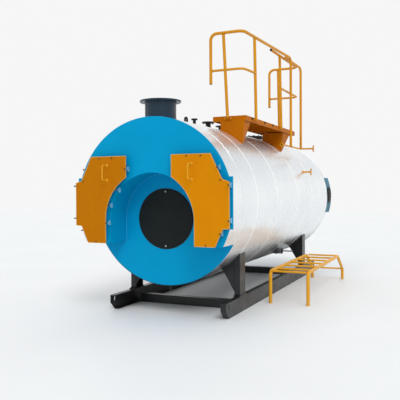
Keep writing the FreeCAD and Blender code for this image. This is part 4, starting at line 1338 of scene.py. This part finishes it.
def rearFittings():
    d = rearDetail
    bolts, beads = [], []
    edge = d["half"] - d["boltInset"]
    for x in np.linspace(-edge, edge, d["boltsAcross"]):
        for z in (d["low"] + 0.03, d["high"] - 0.03):
            bolts.append(standing((x, d["boltY"], z), toBack))
    for z in np.linspace(d["low"] + 0.13, d["high"] - 0.13, d["boltsUp"]):
        bolts += [standing((x, d["boltY"], z), toBack) for x in (-edge, edge)]
    bolts = copies(hexBolt(0.022, 0.008), bolts)
    addPiece("rear_door_bolts", bolts, "boiler_blue", paints["rearBlue"])
    for z in d["boxLevels"]:
        edge = math.sqrt(d["boxRadius"] ** 2 - (z - boiler["axisHeight"]) ** 2)
        for x in (edge - 0.001, 0.001 - edge):
            beads.append(lineWeld((x, 4.142, z), (x, d["boxBack"], z), 30))
        beads.append(lineWeld((-edge, 4.139, z), (edge, 4.139, z), 120))
    addPiece("rear_box_welds", beads, "boiler_blue")

def portFittings():
    d = rearDetail
    x, y, z = d["portSpot"]
    turns = (np.arange(d["portStuds"]) + 0.5) * 360 / d["portStuds"]
    studs = boltCircle((x - d["portFace"], y, z), d["portCircle"], turns, (1, 2), toRight)
    addPiece("port_studs", copies(hexBolt(0.016, 0.010), studs), "fitting_black")
    ring = ringOf([(0.030, -0.001), (0.068, -0.001), (0.064, 0.004), (0.034, 0.004)], 48)
    inner, outer = d["flange"]
    front = [(outer, -0.010), (outer - 0.004, -0.006), (inner, -0.006)]
    flange = ringOf([(inner, -0.046), (outer, -0.046), *front], 64)
    parts = [setAt(part, d["portSpot"], toRight) for part in (ring, flange)]
    addPiece("port_ring", parts, "fitting_black")


def plateRim():
    rim = drumCircle(boiler["radius"] - 0.002, boiler["rearPlate"] - 0.002)
    addPiece("rear_plate_rim", carried(rim, 0.004, 6, closed=True), "strap")


# Belly: blowdown valve flanges, wheel and bolts.
valveDetail = {
    "x": 0.665, "y": 2.000, "low": 0.533, "height": 0.088, "length": 0.175,
    "wheel": 0.042, "wheelFront": 0.075, "spokes": (0, 60, 120), "boltCircle": 0.037,
}


def valveFittings():
    # the wheel is a ring in x and z ahead of the body, with spokes and a stem
    d = valveDetail
    x, y, z = d["x"], d["y"], d["low"] + d["height"] / 2
    flange = [(0.047, 0), (0.049, 0.002), (0.049, 0.012), (0.047, 0.014)]
    disc = turned([(0, 0), *flange, (0, 0.014)], 32)
    ends = (x - d["length"] / 2 - 0.002, x + d["length"] / 2 - 0.012)
    parts = [copies(disc, [standing((end, y, z), toRight) for end in ends])]
    hub = np.array([x, y - d["wheelFront"], z])
    t = np.linspace(0, 2 * np.pi, 28, endpoint=False)
    rim = hub + d["wheel"] * np.stack([np.cos(t), np.zeros(28), np.sin(t)], axis=-1)
    parts.append(carried(rim, 0.005, 8, closed=True))
    for angle in np.radians(d["spokes"]):
        reach = d["wheel"] * np.array([math.cos(angle), 0, math.sin(angle)])
        parts.append(carried(linePath(hub - reach, hub + reach, 6), 0.0035, 6))
    parts.append(carried(linePath((x, y - 0.085, z), (x, y - 0.035, z), 4), 0.008, 10))
    addPiece("valve_wheel", parts, "fitting_black")
    turns = (45, 135, 225, 315)
    frames = boltCircle((ends[0], y, z), d["boltCircle"], turns, (1, 2), (-1, 0, 0))
    addPiece("valve_bolts", copies(hexBolt(0.010, 0.007), frames), "handle_steel", brightZinc)


rearFittings()
portFittings()
plateRim()
valveFittings()
print("rear and belly fittings")


# Studio: pale floor, even sky with a bright wall on the right, one soft sun from the front right.
studio = {
    "floorSize": 60.0,
    "floorColour": (239, 239, 239),
    "floorShade": (236, 236, 236),
    "backdrop": (0.925, 0.925, 0.925),
    "backdropWay": (-0.42, 0.905, 0.05),
    "backdropSpan": (0.74, 0.93),
    "wall": (0.93, 0.95, 0.95),
    "wallSpan": (-0.6, 0.5),
    "upperWall": (0.62, 0.67, 0.70),
    "upperSpan": (0.10, 0.42),
    "front": (0.86, 0.86, 0.86),
    "overhead": (1.2, 1.2, 1.2),
    "overheadSpan": (0.76, 0.86),
    "sunEnergy": 1.02,
    "sunFrom": (0.45, -0.55, 0.70),
    "sunSpread": 24.0,
}


def studioFloor():
    d = studio
    half = d["floorSize"] / 2
    corners = [(-half, -half, 0), (half, -half, 0), (half, half, 0), (-half, half, 0)]
    mesh = bpy.data.meshes.new("studio_floor")
    mesh.from_pydata(corners, [], [(0, 1, 2, 3)])
    material, tree, shader, coords = startMaterial("studioFloor")
    soft = greyRamp(tree, noiseOf(tree, coords, 0.6, 3.0), 0.0, 1.0)
    tone = blended(tree, soft, shade(d["floorShade"]), shade(d["floorColour"]))
    tree.links.new(tone, shader.inputs["Base Color"])
    shader.inputs["Roughness"].default_value = 0.55
    shader.inputs["Specular IOR Level"].default_value = 0.25
    mesh.materials.append(material)
    floor = bpy.data.objects.new("studio_floor", mesh)
    bpy.context.scene.collection.objects.link(floor)


def studioSky():
    # front, then wall, then upper wall, then backdrop and overhead, each over the one before
    d = studio
    world = bpy.data.worlds.new("studioSky")
    bpy.context.scene.world = world
    world.use_nodes = True
    tree = world.node_tree
    way = tree.nodes.new("ShaderNodeTexCoord").outputs["Generated"]
    toward = tree.nodes.new("ShaderNodeVectorMath")
    toward.operation = "DOT_PRODUCT"
    toward.inputs[1].default_value = d["backdropWay"]
    tree.links.new(way, toward.inputs[0])
    along = toward.outputs["Value"]
    height = splitOf(tree, way)["Z"]
    layers = (
        (rangeOf(tree, along, *d["wallSpan"]), "wall"),
        (rangeOf(tree, height, *d["upperSpan"], smooth=True), "upperWall"),
        (rangeOf(tree, along, *d["backdropSpan"], smooth=True), "backdrop"),
        (rangeOf(tree, height, *d["overheadSpan"], smooth=True), "overhead"),
    )
    colour = (*d["front"], 1)
    for share, name in layers:
        colour = blended(tree, share, colour, (*d[name], 1))
    tree.links.new(colour, tree.nodes["Background"].inputs["Color"])


def softSun():
    d = studio
    lamp = bpy.data.lights.new("softSun", "SUN")
    lamp.energy = d["sunEnergy"]
    lamp.angle = math.radians(d["sunSpread"])
    light = bpy.data.objects.new("softSun", lamp)
    light.rotation_euler = Vector(d["sunFrom"]).to_track_quat("Z", "Y").to_euler()
    bpy.context.scene.collection.objects.link(light)


studioFloor()
studioSky()
softSun()

view = {
    "place": (3.3897, -7.2653, 1.5989), "yaw": 0.417620, "pitch": -0.019027, "roll": -0.005073,
    "lens": 52.37, "sensor": 36.0, "clipEnd": 200.0,
}


def addCamera():
    # columns: right, up, back, worked out from yaw, pitch and roll
    yaw, pitch, roll = view["yaw"], view["pitch"], view["roll"]
    level = math.cos(pitch)
    ahead = np.array([-math.sin(yaw) * level, math.cos(yaw) * level, math.sin(pitch)])
    right = np.array([math.cos(yaw), math.sin(yaw), 0.0])
    up = np.cross(right, ahead)
    across = math.cos(roll) * right + math.sin(roll) * up
    above = -math.sin(roll) * right + math.cos(roll) * up
    lens = bpy.data.cameras.new("camera")
    lens.lens = view["lens"]
    lens.sensor_width = view["sensor"]
    lens.clip_end = view["clipEnd"]
    camera = bpy.data.objects.new("camera", lens)
    turn = np.eye(4)
    turn[:3] = np.stack([across, above, -ahead, view["place"]], axis=-1)
    camera.matrix_world = Matrix(turn.tolist())
    bpy.context.scene.collection.objects.link(camera)
    bpy.context.scene.camera = camera


addCamera()
bpy.context.scene.view_settings.view_transform = "Standard"
print("studio and camera")
